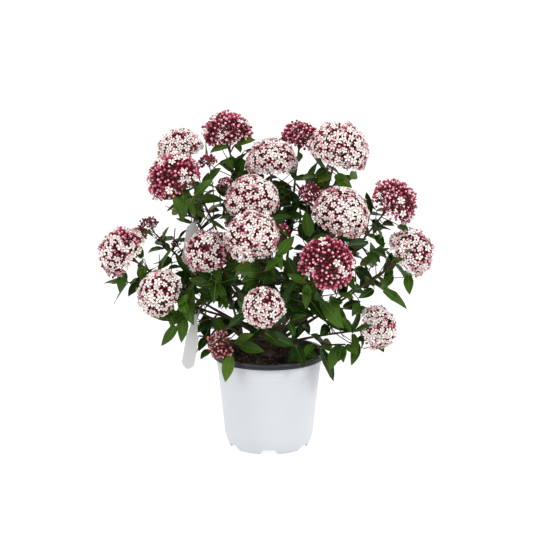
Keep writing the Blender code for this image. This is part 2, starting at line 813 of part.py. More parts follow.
def notch_cutter(angle, home):
    """A wedge across the foot ring, wider at the ground, with the drain hole behind it."""
    mesh = bpy.data.meshes.new("notch")
    work = bmesh.new()
    bmesh.ops.create_cube(work, size=1.0)
    for vert in work.verts:
        top = vert.co.z > 0
        width = NOTCH_TOP_WIDTH if top else NOTCH_FOOT_WIDTH
        vert.co.x = FOOT_RADIUS + (vert.co.x * 24 * MM)
        vert.co.y = vert.co.y * width
        vert.co.z = NOTCH_HEIGHT if top else -NOTCH_HEIGHT
        if not top:
            vert.co.y *= 1 + (NOTCH_FOOT_WIDTH / NOTCH_TOP_WIDTH - 1) * 0.55
    bmesh.ops.create_cone(
        work,
        cap_ends=True,
        segments=10,
        radius1=DRAIN_RADIUS,
        radius2=DRAIN_RADIUS,
        depth=POT_HEIGHT / 4,
        matrix=Matrix.Translation((DRAIN_REACH, 0.0, 0.0)) @ Matrix.Rotation(math.radians(18), 4, "Z"),
    )
    bmesh.ops.transform(work, matrix=Matrix.Rotation(angle, 4, "Z"), verts=work.verts)
    work.to_mesh(mesh)
    work.free()
    cutter = object_from("notch", mesh, home)
    cutter.display_type = "WIRE"
    cutter.hide_render = True
    return cutter


def make_pot(home, cutters, finish):
    pot = turned("pot", pot_profile(), home, finish, POT_STEPS)
    for i in range(NOTCHES):
        notch_cutter(-math.pi / 2 + i * 2 * math.pi / NOTCHES, cutters)
    cut = pot.modifiers.new("drains", "BOOLEAN")
    cut.operation = "DIFFERENCE"
    cut.operand_type = "COLLECTION"
    cut.collection = cutters
    cut.solver = "EXACT"
    return pot


def make_soil(home, finish):
    """The potting mix: it fills the pot, with a low crumbly top that is flat under the main stem."""
    floor = FLOOR_UNDERSIDE + WALL + GAP
    edge = wall_radius(SOIL_EDGE) - WALL - GAP
    profile = [(0.0, SOIL_MIDDLE), (SOIL_FLAT_RADIUS, SOIL_MIDDLE)]
    for share in (0.35, 0.7):
        radius = SOIL_FLAT_RADIUS + (edge - SOIL_FLAT_RADIUS) * share
        profile.append((radius, SOIL_MIDDLE + (SOIL_EDGE - SOIL_MIDDLE) * share))
    profile += [
        (edge, SOIL_EDGE),
        (SHOULDER_RADIUS - WALL - GAP, SHOULDER_HEIGHT),
        (FOOT_RADIUS - WALL + 2.4 * MM - GAP, floor),
        (PAD_RADIUS + PAD_FLARE - GAP, floor),
        (PAD_RADIUS - GAP, WALL + GAP),
        (0.0, WALL + GAP),
    ]
    soil = turned("soil", profile, home, None, POT_STEPS)
    bpy.context.view_layer.update()
    graph = bpy.context.evaluated_depsgraph_get()
    mesh = bpy.data.meshes.new_from_object(soil.evaluated_get(graph))
    bpy.data.objects.remove(soil)
    rng = random.Random(SEED)
    for vert in mesh.vertices:
        reach = math.hypot(vert.co.x, vert.co.y)
        if vert.co.z > SOIL_EDGE - MM and SOIL_FLAT_RADIUS + MM < reach < edge - MM:
            vert.co.z += rng.uniform(-SOIL_LUMP, SOIL_LUMP)
    return object_from("soil", mesh, home, finish)


def make_limb(name, line, radii, home, finish, sides):
    limb = meshed(tube(name, line, radii, home, sides), home)
    limb.name = name
    limb.data.materials.clear()
    limb.data.materials.append(finish)
    return limb


def make_main_stem(home, finish):
    shares = [share for share, _ in STEM_RADII]
    line = [stem_middle(share) for share in shares]
    line[1].x, line[1].y = line[0].x, line[0].y
    return make_limb("main_stem", line, [stem_radius(s) for s in shares], home, finish, STEM_SIDES)


def drop_profiles():
    for obj in list(bpy.data.objects):
        if obj.name.startswith("profile "):
            bpy.data.objects.remove(obj)


def main():
    clear_scene()
    plant = collection("potted viburnum")
    cutters = collection("cutters", hidden=True)
    bark = material("bark", (0.13, 0.06, 0.035), 0.7)
    foliage = material("foliage", (0.05, 0.14, 0.03), 0.4)
    flowering = material("flowering shoot", (0.72, 0.42, 0.46), 0.6)
    plastic = material("white plastic", (0.82, 0.84, 0.87), 0.35)
    label = material("tag plastic", (0.88, 0.88, 0.86), 0.4)
    earth = material("potting mix", (0.035, 0.022, 0.015), 0.95)

    make_soil(plant, earth)
    make_main_stem(plant, bark)
    boughs = bough_lines()
    for name, line in boughs.items():
        radii = radii_between(BOUGH_FOOT_RADIUS, BOUGH_TIP_RADIUS, LIMB_POINTS)
        make_limb(name, part_of(line, 0.0, BOUGH_SHARE, LIMB_POINTS), radii, plant, bark, LIMB_SIDES)
    shoots = grow_shoots(boughs)
    tags = [Tag(name, shoots[bearer], *rest) for name, (bearer, *rest) in TAGS.items()]
    grow_leaves(shoots, Space(shoots, boughs, tags))
    for shoot in shoots.values():
        shoot_solid(shoot, plant, flowering if shoot.heads else foliage)
    for tag in tags:
        tag_solid(tag, plant, label)
    make_pot(plant, cutters, plastic)
    drop_profiles()


if __name__ == "__main__":
    main()
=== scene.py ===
"""A potted evergreen viburnum in flower, dressed for rendering.

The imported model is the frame. The shoots are grown again by the rule that the model was built with, and
carried to finer twigs, smaller leaves, florets and buds. Lengths are metres, +Z is up, and the side seen
first faces -Y.
"""

import contextlib
import functools
import json
import math
import random

import bmesh
import bpy
import numpy as np
from bpy.props import FloatProperty, FloatVectorProperty, IntProperty, PointerProperty
from mathutils import Matrix, Quaternion, Vector

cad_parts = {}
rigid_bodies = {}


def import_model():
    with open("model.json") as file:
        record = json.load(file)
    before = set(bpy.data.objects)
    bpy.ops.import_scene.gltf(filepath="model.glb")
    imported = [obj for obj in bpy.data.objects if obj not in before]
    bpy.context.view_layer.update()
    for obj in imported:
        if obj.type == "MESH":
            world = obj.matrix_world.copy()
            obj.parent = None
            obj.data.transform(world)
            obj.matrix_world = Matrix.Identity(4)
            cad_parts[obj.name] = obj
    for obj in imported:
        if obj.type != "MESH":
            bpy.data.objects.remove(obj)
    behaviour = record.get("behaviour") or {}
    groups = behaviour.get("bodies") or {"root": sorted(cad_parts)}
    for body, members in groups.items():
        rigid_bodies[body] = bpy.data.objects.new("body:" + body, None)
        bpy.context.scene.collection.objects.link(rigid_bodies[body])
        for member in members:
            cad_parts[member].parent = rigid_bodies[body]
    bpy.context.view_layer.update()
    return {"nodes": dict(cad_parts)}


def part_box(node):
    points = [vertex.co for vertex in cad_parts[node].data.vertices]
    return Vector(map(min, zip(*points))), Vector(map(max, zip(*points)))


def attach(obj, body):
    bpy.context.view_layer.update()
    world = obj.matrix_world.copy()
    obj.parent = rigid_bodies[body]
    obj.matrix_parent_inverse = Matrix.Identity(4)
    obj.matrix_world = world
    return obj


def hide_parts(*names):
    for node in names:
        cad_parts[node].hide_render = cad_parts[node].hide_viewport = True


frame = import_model()

bl_info = {
    "name": "Potted viburnum",
    "version": (1, 0, 0),
    "blender": (4, 5, 0),
    "location": "3D View > Sidebar > Viburnum",
    "description": "A potted viburnum in flower: pot, potting mix, branches, leaves, flower heads and tags",
    "category": "Add Mesh",
}

MM = 0.001
UP = Vector((0.0, 0.0, 1.0))
GAP = 0.3 * MM
NODES = frame["nodes"]
MOST_TRIANGLES = 199000

# Pot
POT_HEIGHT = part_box("pot")[1].z
RIM_RADIUS = 85 * MM
WALL = 1.8 * MM
FOOT_RADIUS = 59.6 * MM
SHOULDER_RADIUS = 66.4 * MM
SHOULDER_HEIGHT = 20 * MM
SKIRT_HEIGHT = 8.2 * MM
UNDER_RIM_RADIUS = 78.9 * MM
FLOOR_UNDERSIDE = 6.7 * MM
PAD_RADIUS = 24 * MM
PAD_FLARE = 5 * MM
NOTCHES = 6
NOTCH_HEIGHT = 7.3 * MM
NOTCH_REACH = 24 * MM
NOTCH_BASE_WIDTH = 39.48 * MM
NOTCH_TOP_WIDTH = 16 * MM
DRAIN_RADIUS = 4.5 * MM
DRAIN_TURN = math.radians(18)
DRAIN_REACH = 46 * MM
POT_STEPS = 96
WALL_ROWS = 45
CREASE = math.radians(38)

# Shallow rings round the pot: height, width and share of the ridge. Sections in mm outward and up: the rim's
# from its top outer corner, and the shoulder's from where it meets the wall
RINGS = ((126 * MM, 1.5 * MM, 1.0), (119 * MM, 1.1 * MM, 1.0), (27 * MM, 1.3 * MM, 0.3))
RIM_SECTION = (
    (-5.9, -3), (-5.6, -1.2), (-5.1, -0.3), (-4.3, 0), (-1.5, 0), (-0.5, -0.3), (0, -1.2), (0, -2.7),
    (-0.3, -3.2), (-1.4, -3.6), (-1.4, -4.4), (-0.5, -4.8), (-0.6, -7.7), (-1.1, -8.2),
)
SHOULDER_SECTION = ((-0.2, -0.8), (-0.7, -2.6), (-1.3, -5), (-2.1, -8.5))

# Potting mix and main stem. The stem's radii in mm stand beside their shares of its height
SOIL_EDGE = 136 * MM
SOIL_MIDDLE = 139 * MM
SOIL_RINGS, SOIL_STEPS = 34, 120
CHIP_RINGS, CHIP_STEPS = 12, 72
CHIP_ROOM = 16 * MM
STEM_FOOT = SOIL_MIDDLE + GAP
STEM_HEIGHT = 62 * MM
STEM_RADII = ((0.0, 12.0), (0.05, 9.6), (0.16, 8.0), (0.45, 7.2), (0.8, 6.6), (0.95, 5.6), (1.0, 4.0))
STEM_LEAN = Vector((2.0 * MM, -1.5 * MM, 0.0))

# Boughs: the flower head that each leads to, and how far up the main stem it leaves, as a share
BOUGHS = {
    "bough_left_low": ("head_left_low", 0.22),
    "bough_left": ("head_left", 0.42),
    "bough_left_rear": ("head_left_bud", 0.62),
    "bough_left_front": ("head_left_front", 0.66),
    "bough_upper_left": ("head_upper_left", 0.86),
    "bough_top_left": ("head_top_left", 0.88),
    "bough_middle": ("head_middle", 0.9),
    "bough_top_right": ("head_top_right", 0.84),
    "bough_upper_right": ("head_upper_right", 0.72),
    "bough_right_high": ("head_right_high", 0.48),
    "bough_right": ("head_right", 0.3),
    "bough_right_low": ("head_right_low", 0.17),
    "bough_front": ("head_front", 0.5),
    "bough_front_low": ("head_front_low", 0.24),
    "bough_rear_left": ("head_rear_left", 0.5),
    "bough_rear": ("head_rear_top", 0.68),
    "bough_rear_right": ("head_rear_right", 0.4),
}

# How far a flower head has opened: the share of its florets that are open, shares of its buds that are
# rose, pink, crimson and salmon, how far its clusters stand apart, and the share of its buds that are missing
OPEN = (1.0, (0.38, 0.5, 0.12, 0.0), 0.7, 0.0)
HALF = (0.72, (0.52, 0.34, 0.14, 0.0), 0.8, 0.0)
SOME = (0.24, (0.6, 0.26, 0.14, 0.0), 1.2, 0.0)
FEW = (0.12, (0.68, 0.14, 0.18, 0.0), 1.3, 0.0)
SHUT = (0.03, (0.66, 0.08, 0.26, 0.0), 1.1, 0.0)
DARK = (0.0, (0.3, 0.0, 0.7, 0.0), 1.0, 0.0)
GREEN = (0.0, (0.1, 0.3, 0.0, 0.6), 0.8, 0.1)

# Flower heads: middle of the dome in mm across, back and up, the dome's radius in mm, the bough each grows
# on, the share of the bough where its shoot leaves (None carries on from the end), and how far it has opened
HEADS = {
    "head_top_left_rear": ((-133, 52, 440), 35, "bough_upper_left", 0.9, OPEN),
    "head_upper_left": ((-137, -27, 410), 41, "bough_upper_left", None, SOME),
    "head_top_left": ((-63, 72, 458), 38, "bough_top_left", None, FEW),
    "head_top_middle": ((4, 26, 426), 38, "bough_middle", 0.9, OPEN),
    "head_top_right": ((47, 80, 451), 31, "bough_top_right", None, SHUT),
    "head_upper_right": ((102, -1, 448), 45, "bough_upper_right", None, OPEN),
    "head_right_high": ((180, -20, 373), 37, "bough_right_high", None, FEW),
    "head_right_middle": ((103, -62, 364), 43, "bough_upper_right", 0.78, OPEN),
    "head_middle": ((-25, -42, 381), 40, "bough_middle", None, OPEN),
    "head_middle_front": ((-24, -116, 342), 40, "bough_left_front", 0.87, OPEN),
    "head_left_front": ((-89, -72, 311), 35, "bough_left_front", None, HALF),
    "head_left": ((-214, -14, 297), 40, "bough_left", None, HALF),
    "head_left_low": ((-156, -80, 252), 36, "bough_left_low", None, OPEN),
    "head_front": ((82, -120, 304), 40, "bough_front", None, FEW),
    "head_right": ((206, -45, 304), 37, "bough_right", None, OPEN),
    "head_right_low": ((156, -60, 195), 33, "bough_right_low", None, OPEN),
    "head_front_low": ((-8, -148, 248), 31, "bough_front_low", None, OPEN),
    "head_over_rim": ((-70, -85, 177), 22, "bough_front_low", 0.62, GREEN),
    "head_left_bud": ((-178, 30, 326), 18, "bough_left_rear", None, DARK),
    "head_rear_right_middle": ((102, 130, 293), 34, "bough_rear_right", 0.8, OPEN),
    "head_rear_middle": ((-36, 128, 322), 34, "bough_rear", 0.8, HALF),
    "head_rear_left_low": ((-94, 112, 262), 33, "bough_rear_left", 0.87, OPEN),
    "head_rear_left": ((-163, 72, 215), 32, "bough_rear_left", None, OPEN),
    "head_rear_left_high": ((-142, 124, 379), 36, "bough_left_rear", 0.92, FEW),
    "head_rear_top": ((3, 142, 406), 32, "bough_rear", None, OPEN),
    "head_rear_right": ((213, 72, 278), 32, "bough_rear_right", None, FEW),
    "head_rear_right_high": ((105, 114, 424), 36, "bough_top_right", 0.87, OPEN),
    "head_rear_low": ((-11, 142, 190), 30, "bough_rear_left", 0.52, HALF),
}

# Small side heads: middle and radius in mm, the flower head whose shoot carries each, and how open it is
SIDE_HEADS = {
    "side_right": ((60, -12, 383), 20, "head_right_middle", SHUT),
    "side_middle": ((18, -56, 336), 15, "head_middle", SHUT),
    "side_left": ((-139, 42, 298), 9, "head_left_bud", GREEN),
    "side_upper_left": ((-90, 16, 428), 14, "head_upper_left", SHUT),
    "side_top_left": ((-65, 8, 397), 12, "head_top_left", SHUT),
}

# Leafy shoots with no flowers: tip in mm, the bough, and where on it they leave
LEAFY = {
    "leaves_right_low": ((112, -66, 172), "bough_right_low", 0.6),
    "leaves_left_low": ((-104, -40, 178), "bough_left_low", 0.45),
    "leaves_middle": ((12, 2, 300), "bough_middle", 0.64),
    "leaves_rear": ((48, 84, 226), "bough_rear_right", 0.56),
    "leaves_rear_low": ((-62, 78, 176), "bough_rear_left", 0.3),
}

# Leaves that show clearly from the front: root and tip in mm across, back and up, tone (0 dark, 1 middle,
# 2 fresh), and how far the upper face is turned to the front
SHOWN_LEAVES = (
    (-213, -26, 273, -221, -50, 246, 1, 0.6), (-193, -18, 254, -209, -42, 239, 0, 1),
    (-146, 19, 285, -167, -5, 270, 1, 1), (-157, 22, 298, -181, -2, 296, 1, 0.4),
    (-159, 22, 301, -148, -2, 337, 1, 0.6), (-158, 26, 305, -147, 2, 295, 0, 1),
    (-171, 24, 312, -184, 0, 327, 2, 0.6), (-105, 16, 255, -124, -8, 239, 0, 1),
    (-129, -69, 239, -109, -93, 223, 1, 0.7), (-126, -69, 220, -127, -73, 176, 1, 1),
    (-134, -82, 206, -156, -95, 176, 1, 0.7), (-150, -90, 226, -136, -114, 216, 0, 0.6),
    (-132, 15, 271, -151, -9, 272, 1, 0.5), (-123, 16, 266, -128, -8, 250, 0, 0.7),
    (-93, -36, 175, -105, -60, 160, 0, 1), (-87, -38, 157, -102, -62, 148, 1, 0.6),
    (-55, -78, 161, -66, -82, 119, 2, 1), (-69, -39, 186, -83, -63, 212, 1, 1),
    (-84, 7, 226, -112, -17, 216, 1, 0.5), (-68, -61, 257, -61, -85, 229, 1, 1),
    (-50, -66, 174, -22, -90, 192, 2, 0.7), (-46, -64, 172, -7, -71, 161, 1, 1),
    (205, -39, 272, 205, -63, 246, 1, 1), (183, -38, 270, 164, -62, 254, 1, 1),
    (166, -41, 250, 205, -45, 221, 1, 0.6), (130, 42, 266, 159, 38, 234, 0, 1),
    (156, -24, 246, 132, -48, 236, 0, 1), (144, 85, 260, 165, 61, 261, 1, 0.4),
    (173, -46, 299, 147, -70, 315, 0, 0.7), (146, -21, 302, 163, -45, 290, 1, 0.3),
    (133, -33, 229, 123, -57, 211, 1, 1), (77, -102, 246, 107, -106, 205, 1, 1),
    (92, -43, 197, 129, -57, 191, 0, 1), (103, -62, 171, 88, -66, 132, 1, 1),
    (107, -65, 171, 108, -89, 150, 1, 0.4), (132, -44, 170, 123, -63, 138, 1, 1),
    (161, -47, 164, 170, -71, 161, 1, 0.6), (79, -51, 168, 91, -75, 163, 1, 0.7),
    (159, -23, 329, 168, -47, 313, 0, 1), (190, -24, 343, 204, -48, 337, 1, 0.7),
    (99, -60, 332, 127, -84, 333, 0, 1), (107, -15, 267, 130, -38, 245, 1, 0.6),
    (101, -113, 260, 121, -137, 258, 1, 0.3), (92, -112, 251, 105, -136, 251, 0, 0.6),
    (90, -42, 192, 76, -66, 185, 0, 1), (-51, 61, 448, -20, 37, 458, 2, 0.6),
    (-49, 61, 448, -41, 37, 440, 1, 0.7), (-62, 61, 446, -89, 37, 440, 2, 0.6),
    (-51, 60, 413, -59, 36, 437, 1, 1), (-47, 57, 401, -36, 33, 430, 1, 0.9),
    (-49, 58, 404, -75, 34, 423, 0, 0.6), (-90, 9, 404, -70, -15, 425, 1, 0.8),
    (-107, 36, 370, -66, 27, 371, 1, 1), (-125, -26, 388, -129, -34, 349, 1, 1),
    (-109, 39, 366, -103, 15, 355, 1, 0.8), (97, -5, 416, 121, -29, 398, 1, 1),
    (92, -5, 396, 113, -29, 405, 1, 0.6), (84, -7, 424, 66, -31, 415, 0, 1),
    (71, -7, 414, 47, -31, 413, 1, 0.6), (41, 65, 395, 28, 41, 415, 0, 0.9),
    (47, 69, 422, 42, 45, 440, 2, 1), (32, 58, 372, 15, 34, 399, 0, 1),
    (45, 59, 358, 26, 35, 382, 0, 1), (24, 50, 343, 54, 26, 345, 1, 1),
    (46, -23, 328, 77, -47, 329, 0, 1), (11, 1, 297, 38, -23, 309, 1, 1),
    (167, -23, 346, 184, -47, 347, 0, 1), (9, 4, 190, 28, -6, 155, 0, 1),
    (64, -45, 167, 51, -69, 153, 1, 1), (69, -99, 275, 47, -114, 246, 1, 1),
    (-24, -83, 285, -34, -107, 262, 1, 1), (-11, -11, 186, -32, -35, 168, 0, 1),
    (49, 23, 192, 24, -1, 176, 0, 1), (80, 25, 206, 57, 1, 197, 0, 0.8),
    (86, -40, 197, 76, -64, 183, 0, 1), (52, -13, 190, 45, -37, 178, 0, 1),
    (52, -13, 190, 62, -37, 183, 0, 1), (45, -2, 241, 11, -23, 235, 0, 0.8),
    (91, -110, 251, 105, -134, 249, 0, 0.6), (79, -27, 167, 61, -51, 182, 1, 0.8),
    (29, -72, 232, 17, -96, 214, 0, 1), (46, -12, 180, 33, -36, 169, 0, 1),
    (112, -66, 172, 130, -82, 160, 1, 0.8),
)

# Where the sky or the potting mix shows from the front through or beside the crown: places across and up in
# mm on the upright plane through the pot's axis, and the radius of each. Grown leaves keep off them
OPENINGS = (
    (-216, 374, 36), (-6, 504, 29), (174, 436, 27), (-143, 139, 20), (-176, 170, 17), (-195, 413, 15),
    (230, 341, 15), (230, 246, 15), (204, 195, 15), (110, 110, 15), (-96, 105, 15), (-106, 498, 14),
    (-181, 437, 14), (154, 412, 14), (219, 222, 14), (-211, 215, 14), (160, 135, 14), (140, 403, 11),
    (-176, 362, 11), (-140, 329, 11), (190, 248, 11), (162, 226, 11), (183, 217, 9), (192, 209, 9),
    (-162, 189, 9), (145, 127, 9), (-72, 443, 8), (-68, 415, 8), (132, 394, 8), (221, 359, 8),
    (-154, 345, 8), (-167, 291, 8), (-211, 255, 8), (174, 223, 8), (117, 155, 8), (-18, 473, 6),
    (-35, 455, 6), (-173, 376, 6), (-180, 286, 6), (167, 274, 6), (163, 268, 6), (134, 254, 6),
    (148, 222, 6), (-61, 197, 6), (93, 167, 6), (-123, 155, 6), (116, 138, 6), (-123, 127, 6),
    (9, 474, 5), (-49, 449, 5), (59, 433, 5), (50, 418, 5), (12, 415, 5), (31, 406, 5), (126, 403, 5),
    (-93, 368, 5), (-163, 324, 5), (-143, 281, 5), (154, 271, 5), (132, 246, 5), (82, 232, 5),
    (127, 232, 5), (109, 225, 5), (117, 200, 5), (60, 192, 5), (-117, 174, 5), (86, 163, 5),
    (-14, 150, 10), (14, 147, 8), (-40, 150, 6), (0, 152, 8), (-6, 170, 6), (-28, 178, 6),
    (-127, 108, 6),
)

# Blank tags: the flower head whose shoot carries each, where its loop hangs on that shoot as a share, the
# turn of its plate about Z in degrees, the plate's width and length in mm, and the length of its neck in mm
TAGS = {
    "tag_upper": ("head_upper_left", 0.7, 28, 19, 62, 3),
    "tag_lower": ("head_left_low", 0.6, -24, 20, 62, 28),
}
TAG_THICKNESS = 0.8 * MM
TAG_LOOP = 4.4 * MM
TAG_WIRE = 0.6 * MM
TAG_SWING = math.radians(9)
TAG_ROOM = np.array([3, 7, 3]) * MM
LOOP_ROOM = 9 * MM

# Limbs, and the place that the flower heads face away from
FOCUS = Vector((0.0, 0.0, 0.20))
BOUGH_FOOT_RADIUS = 3.1 * MM
BOUGH_TIP_RADIUS = 2.1 * MM
TWIG_FOOT_RADIUS = 1.9 * MM
TWIG_TIP_RADIUS = 1.35 * MM
SIDE_TWIG_RADIUS = 1.2 * MM
BOUGH_SHARE = 0.38
BOUGH_POINTS = 41
BOUGH_SPANS = 12
STEM_SPANS = 20
TWIG_POINTS = 5
SIDE_POINTS = 3
CURVE_PULL = 0.33
COLLAR = 1.7 * MM
STEM_SUNK = 2.5 * MM
STEM_ROWS, BOUGH_ROWS, SHOOT_ROWS = 47, 36, 30

# Leaves of the first growth, which the solids share, and of the finer growth between them
NODE_SPACING = 28 * MM
FIRST_NODE = 12 * MM
LAST_NODE = 7 * MM
LEAF_LENGTH = 55 * MM
LEAF_WIDTH = 0.45
LEAF_TRIES = ((1.0, 0.0), (0.92, 0.5), (0.84, -0.5), (0.74, 0.25), (0.64, -0.25))
SIDE_SHOOT_LENGTH = 44 * MM
CELL_MARGIN = 1.7 * MM
FINE_CELL_MARGIN = -5 * MM
LIMB_MARGIN = 0.8 * MM
LOWEST_LEAF = 0.55 * POT_HEIGHT
BARE_TOP = 215 * MM
BARE_FRONT = -20 * MM
DROOPS = (0.25, 0.45, 0.65)
SAG = (0.1, 0.5)
TURN_OUT = (0.4, 1.0)
FINE_TWIG_LENGTH = (26, 46)
FINE_TWIG_MISSING = 0.12
FIRST_ROOM = -1.5 * MM
FINE_ROOM = 3 * MM
# Painted shade: sprays this near the axis, or this low and near the middle, get darker leaves
DEEP_RADIUS = 75 * MM
LOW_HEIGHT = 300 * MM
LOW_HALF_WIDTH = 115 * MM

# Leaves that are set one by one: their droop, their chord as a share of their length, and its angle
SHOWN_DROOP = 0.45
SHOWN_CHORD = 0.958
SHOWN_ANGLE = math.radians(9.2)

# Flower heads
DOME_EDGE = math.radians(108)
DOME_CORE = 0.8
HUB_REACH = math.cos(math.radians(34))
RAYS_DROP = 0.66
SMALL_HEAD = 24 * MM
CLUSTER_AREA = 420 * MM * MM
PLACE_AREA = 9.5 * MM * MM
INNER_BUD_AREA = 30 * MM * MM
FLORET_ROOM = 0.56
CLUSTER_STRAY = 0.45
RAYS = 7
SEED = 11

# Camera, set where the photograph was taken from
EYE = Vector((-3.7 * MM, -3.2, 1.0085))
AIM = Vector((-3.7 * MM, 0.0, 0.2745))
LENS = 148.7

# Stage. Each lamp: its place, its width, and its power as a share of the main lamp's
FLOOR_REACH = 30.0
LIT_PLACE = Vector((0.0, 0.0, 0.28))
LAMPS = (
    ("key", (2.3, -1.75, 2.2), 1.2, 1.0),
    ("fill", (-2.1, -1.6, 1.3), 1.6, 0.45),
    ("rear", (-0.3, 1.9, 1.9), 1.4, 0.4),
)


# Settings


def colour(name, of_what, default):
    words = "Colour of " + of_what
    return FloatVectorProperty(
        name=name, description=words, default=default, subtype="COLOR", size=3, min=0.0, max=1.0
    )


def size(name, description, default):
    return FloatProperty(name=name, description=description, default=default, unit="LENGTH", min=0.0)


class PotSettings(bpy.types.PropertyGroup):
    wall: colour("Wall", "the pot's outside", (0.548, 0.57, 0.6))
    lining: colour("Lining", "the rim and the inside", (0.012, 0.014, 0.018))
    ridge: size("Ridge", "How far the shallow rings under the rim stand out", 0.8 * MM)


class SoilSettings(bpy.types.PropertyGroup):
    earth: colour("Earth", "the potting mix", (0.014, 0.009, 0.007))
    chip: colour("Bark chips", "the chips of bark in it", (0.16, 0.085, 0.04))
    lump: size("Lumps", "Height of the lumps in its surface", 2.2 * MM)
    chips: IntProperty(name="Chips", description="Chips to a square decimetre", default=210, min=0)


class BranchSettings(bpy.types.PropertyGroup):
    bark: colour("Bark", "the older wood", (0.05, 0.028, 0.018))
    young: colour("Young wood", "the twigs and leaf stalks", (0.095, 0.045, 0.024))
    relief: size("Relief", "Depth of the bark's ridges", 0.5 * MM)


class LeafSettings(bpy.types.PropertyGroup):
    spacing: size("Spacing", "Distance between leaf pairs of the finer growth", 20 * MM)
    length: size("Length", "Length of a leaf of the finer growth", 45 * MM)
    # The dark and middle colours also serve as painted shade on leaves deep in the crown or low in its middle
    dark: colour("Dark", "the older leaves", (0.012, 0.037, 0.0012))
    middle: colour("Middle", "most leaves", (0.031, 0.077, 0.0025))
    fresh: colour("Fresh", "the newest leaves", (0.05, 0.096, 0.004))
    rib: colour("Midrib", "the midribs", (0.13, 0.2, 0.05))


class BlossomSettings(bpy.types.PropertyGroup):
    floret_pitch: size("Floret pitch", "Least distance between open florets", 8.3 * MM)
    bud_pitch: size("Bud pitch", "Least distance between buds", 4.9 * MM)
    petal: colour("Petal", "the petals", (0.8, 0.735, 0.705))
    blush: colour("Blush", "the florets' tubes", (0.8, 0.42, 0.5))
    centre: colour("Centre", "the stamens", (0.5, 0.5, 0.3))
    rose: colour("Rose buds", "most buds", (0.48, 0.06, 0.138))
    pink: colour("Pink buds", "the buds about to open", (0.56, 0.24, 0.285))
    crimson: colour("Crimson buds", "the youngest buds", (0.17, 0.011, 0.026))
    salmon: colour("Salmon buds", "buds that are still small", (0.54, 0.19, 0.15))
    stalk: colour("Stalks", "the flower heads' stalks", (0.11, 0.042, 0.027))


class TagSettings(bpy.types.PropertyGroup):
    face: colour("Face", "the tags", (0.5, 0.505, 0.495))


class StageSettings(bpy.types.PropertyGroup):
    floor: colour("Floor", "the floor", (0.14, 0.14, 0.14))
    glow: FloatProperty(name="Glow", description="Light that the floor gives off", default=0.88, min=0.0)
    light: FloatProperty(name="Light", description="Strength of the light all round", default=1.0, min=0.0)
    key: FloatProperty(name="Key", description="Power of the main lamp", default=60.0, min=0.0, unit="POWER")


# Materials


def new_node(tree, kind, settings, sockets):
    """A node with its settings, and with a link or a value in each socket."""
    made = tree.nodes.new(kind)
    for name, value in settings.items():
        setattr(made, name, value)
    for name, value in sockets.items():
        feed(tree, made.inputs[name], value)
    return made


def feed(tree, socket, value):
    if isinstance(value, Sum):
        value = value.output
    if isinstance(value, bpy.types.NodeSocket):
        tree.links.new(value, socket)
    else:
        socket.default_value = value


class Sum:
    """A shader's number, so that maths on it is written as maths: each sign adds its node."""

    def __init__(self, finish, output):
        self.finish = finish
        self.output = output

    def worked(self, operation, first, second):
        node = self.finish.node("ShaderNodeMath", {"operation": operation}, {0: first, 1: second})
        return Sum(self.finish, node.outputs[0])

    def __add__(self, other):
        return self.worked("ADD", self, other)

    def __radd__(self, other):
        return self.worked("ADD", other, self)

    def __rsub__(self, other):
        return self.worked("SUBTRACT", other, self)

    def __mul__(self, other):
        return self.worked("MULTIPLY", self, other)

    def __rmul__(self, other):
        return self.worked("MULTIPLY", other, self)


class Finish:
    """A material as it is made: the nodes that feed its one shader."""

    def __init__(self, name, **fixed):
        self.material = bpy.data.materials.new(name)
        self.material.use_nodes = True
        self.tree = self.material.node_tree
        self.shader = self.tree.nodes["Principled BSDF"]
        for socket, value in fixed.items():
            self.shader.inputs[socket.replace("_", " ")].default_value = value
        self.place = self.node("ShaderNodeTexCoord", {}, {}).outputs["Object"]

    def node(self, kind, settings, sockets):
        return new_node(self.tree, kind, settings, sockets)

    def noise(self, scale, detail=2.0, stretch=None):
        """Soft noise from 0 to 1. Scale is in features to a metre, and stretch changes it along each axis."""
        where = self.place
        if stretch:
            where = self.node("ShaderNodeMapping", {}, {"Vector": where, "Scale": stretch}).outputs[0]
        made = self.node("ShaderNodeTexNoise", {}, {"Vector": where, "Scale": scale, "Detail": detail})
        return Sum(self, made.outputs[0])

    def cells(self, scale):
        """Distance from the middle of each cell."""
        made = self.node("ShaderNodeTexVoronoi", {}, {"Vector": self.place, "Scale": scale})
        return Sum(self, made.outputs["Distance"])

    def step(self, value, low, high):
        """0 below low and 1 above high, with a smooth step between."""
        made = self.node(
            "ShaderNodeMapRange",
            {"interpolation_type": "SMOOTHSTEP"},
            {"Value": value, "From Min": low, "From Max": high},
        )
        return Sum(self, made.outputs[0])

    def mix(self, share, first, second):
        pair = {0: share}
        for index, value in ((6, first), (7, second)):
            pair[index] = value if isinstance(value, bpy.types.NodeSocket) else (*value, 1.0)
        return self.node("ShaderNodeMix", {"data_type": "RGBA"}, pair).outputs[2]

    def bump(self, height, depth, strength):
        made = self.node("ShaderNodeBump", {}, {"Height": height, "Distance": depth, "Strength": strength})
        feed(self.tree, self.shader.inputs["Normal"], made.outputs[0])

    def paint(self, base, roughness):
        feed(self.tree, self.shader.inputs["Base Color"], base)
        feed(self.tree, self.shader.inputs["Roughness"], roughness)
        return self.material


def tinted(base, factor):
    return tuple(min(1.0, part * factor) for part in base)


def plastic_finish(name, base, roughness):
    """Moulded plastic: faint clouding, handling marks in the gloss and a fine moulded grain."""
    finish = Finish(name, Specular_IOR_Level=0.45)
    cloud = finish.noise(14.0, 3.0)
    marks = finish.step(finish.noise(60.0, 4.0, (1.0, 1.0, 0.25)), 0.52, 0.75)
    finish.bump(finish.noise(900.0), 0.04 * MM, 0.5)
    return finish.paint(finish.mix(cloud, tinted(base, 0.94), tinted(base, 1.04)), roughness + 0.12 * marks)


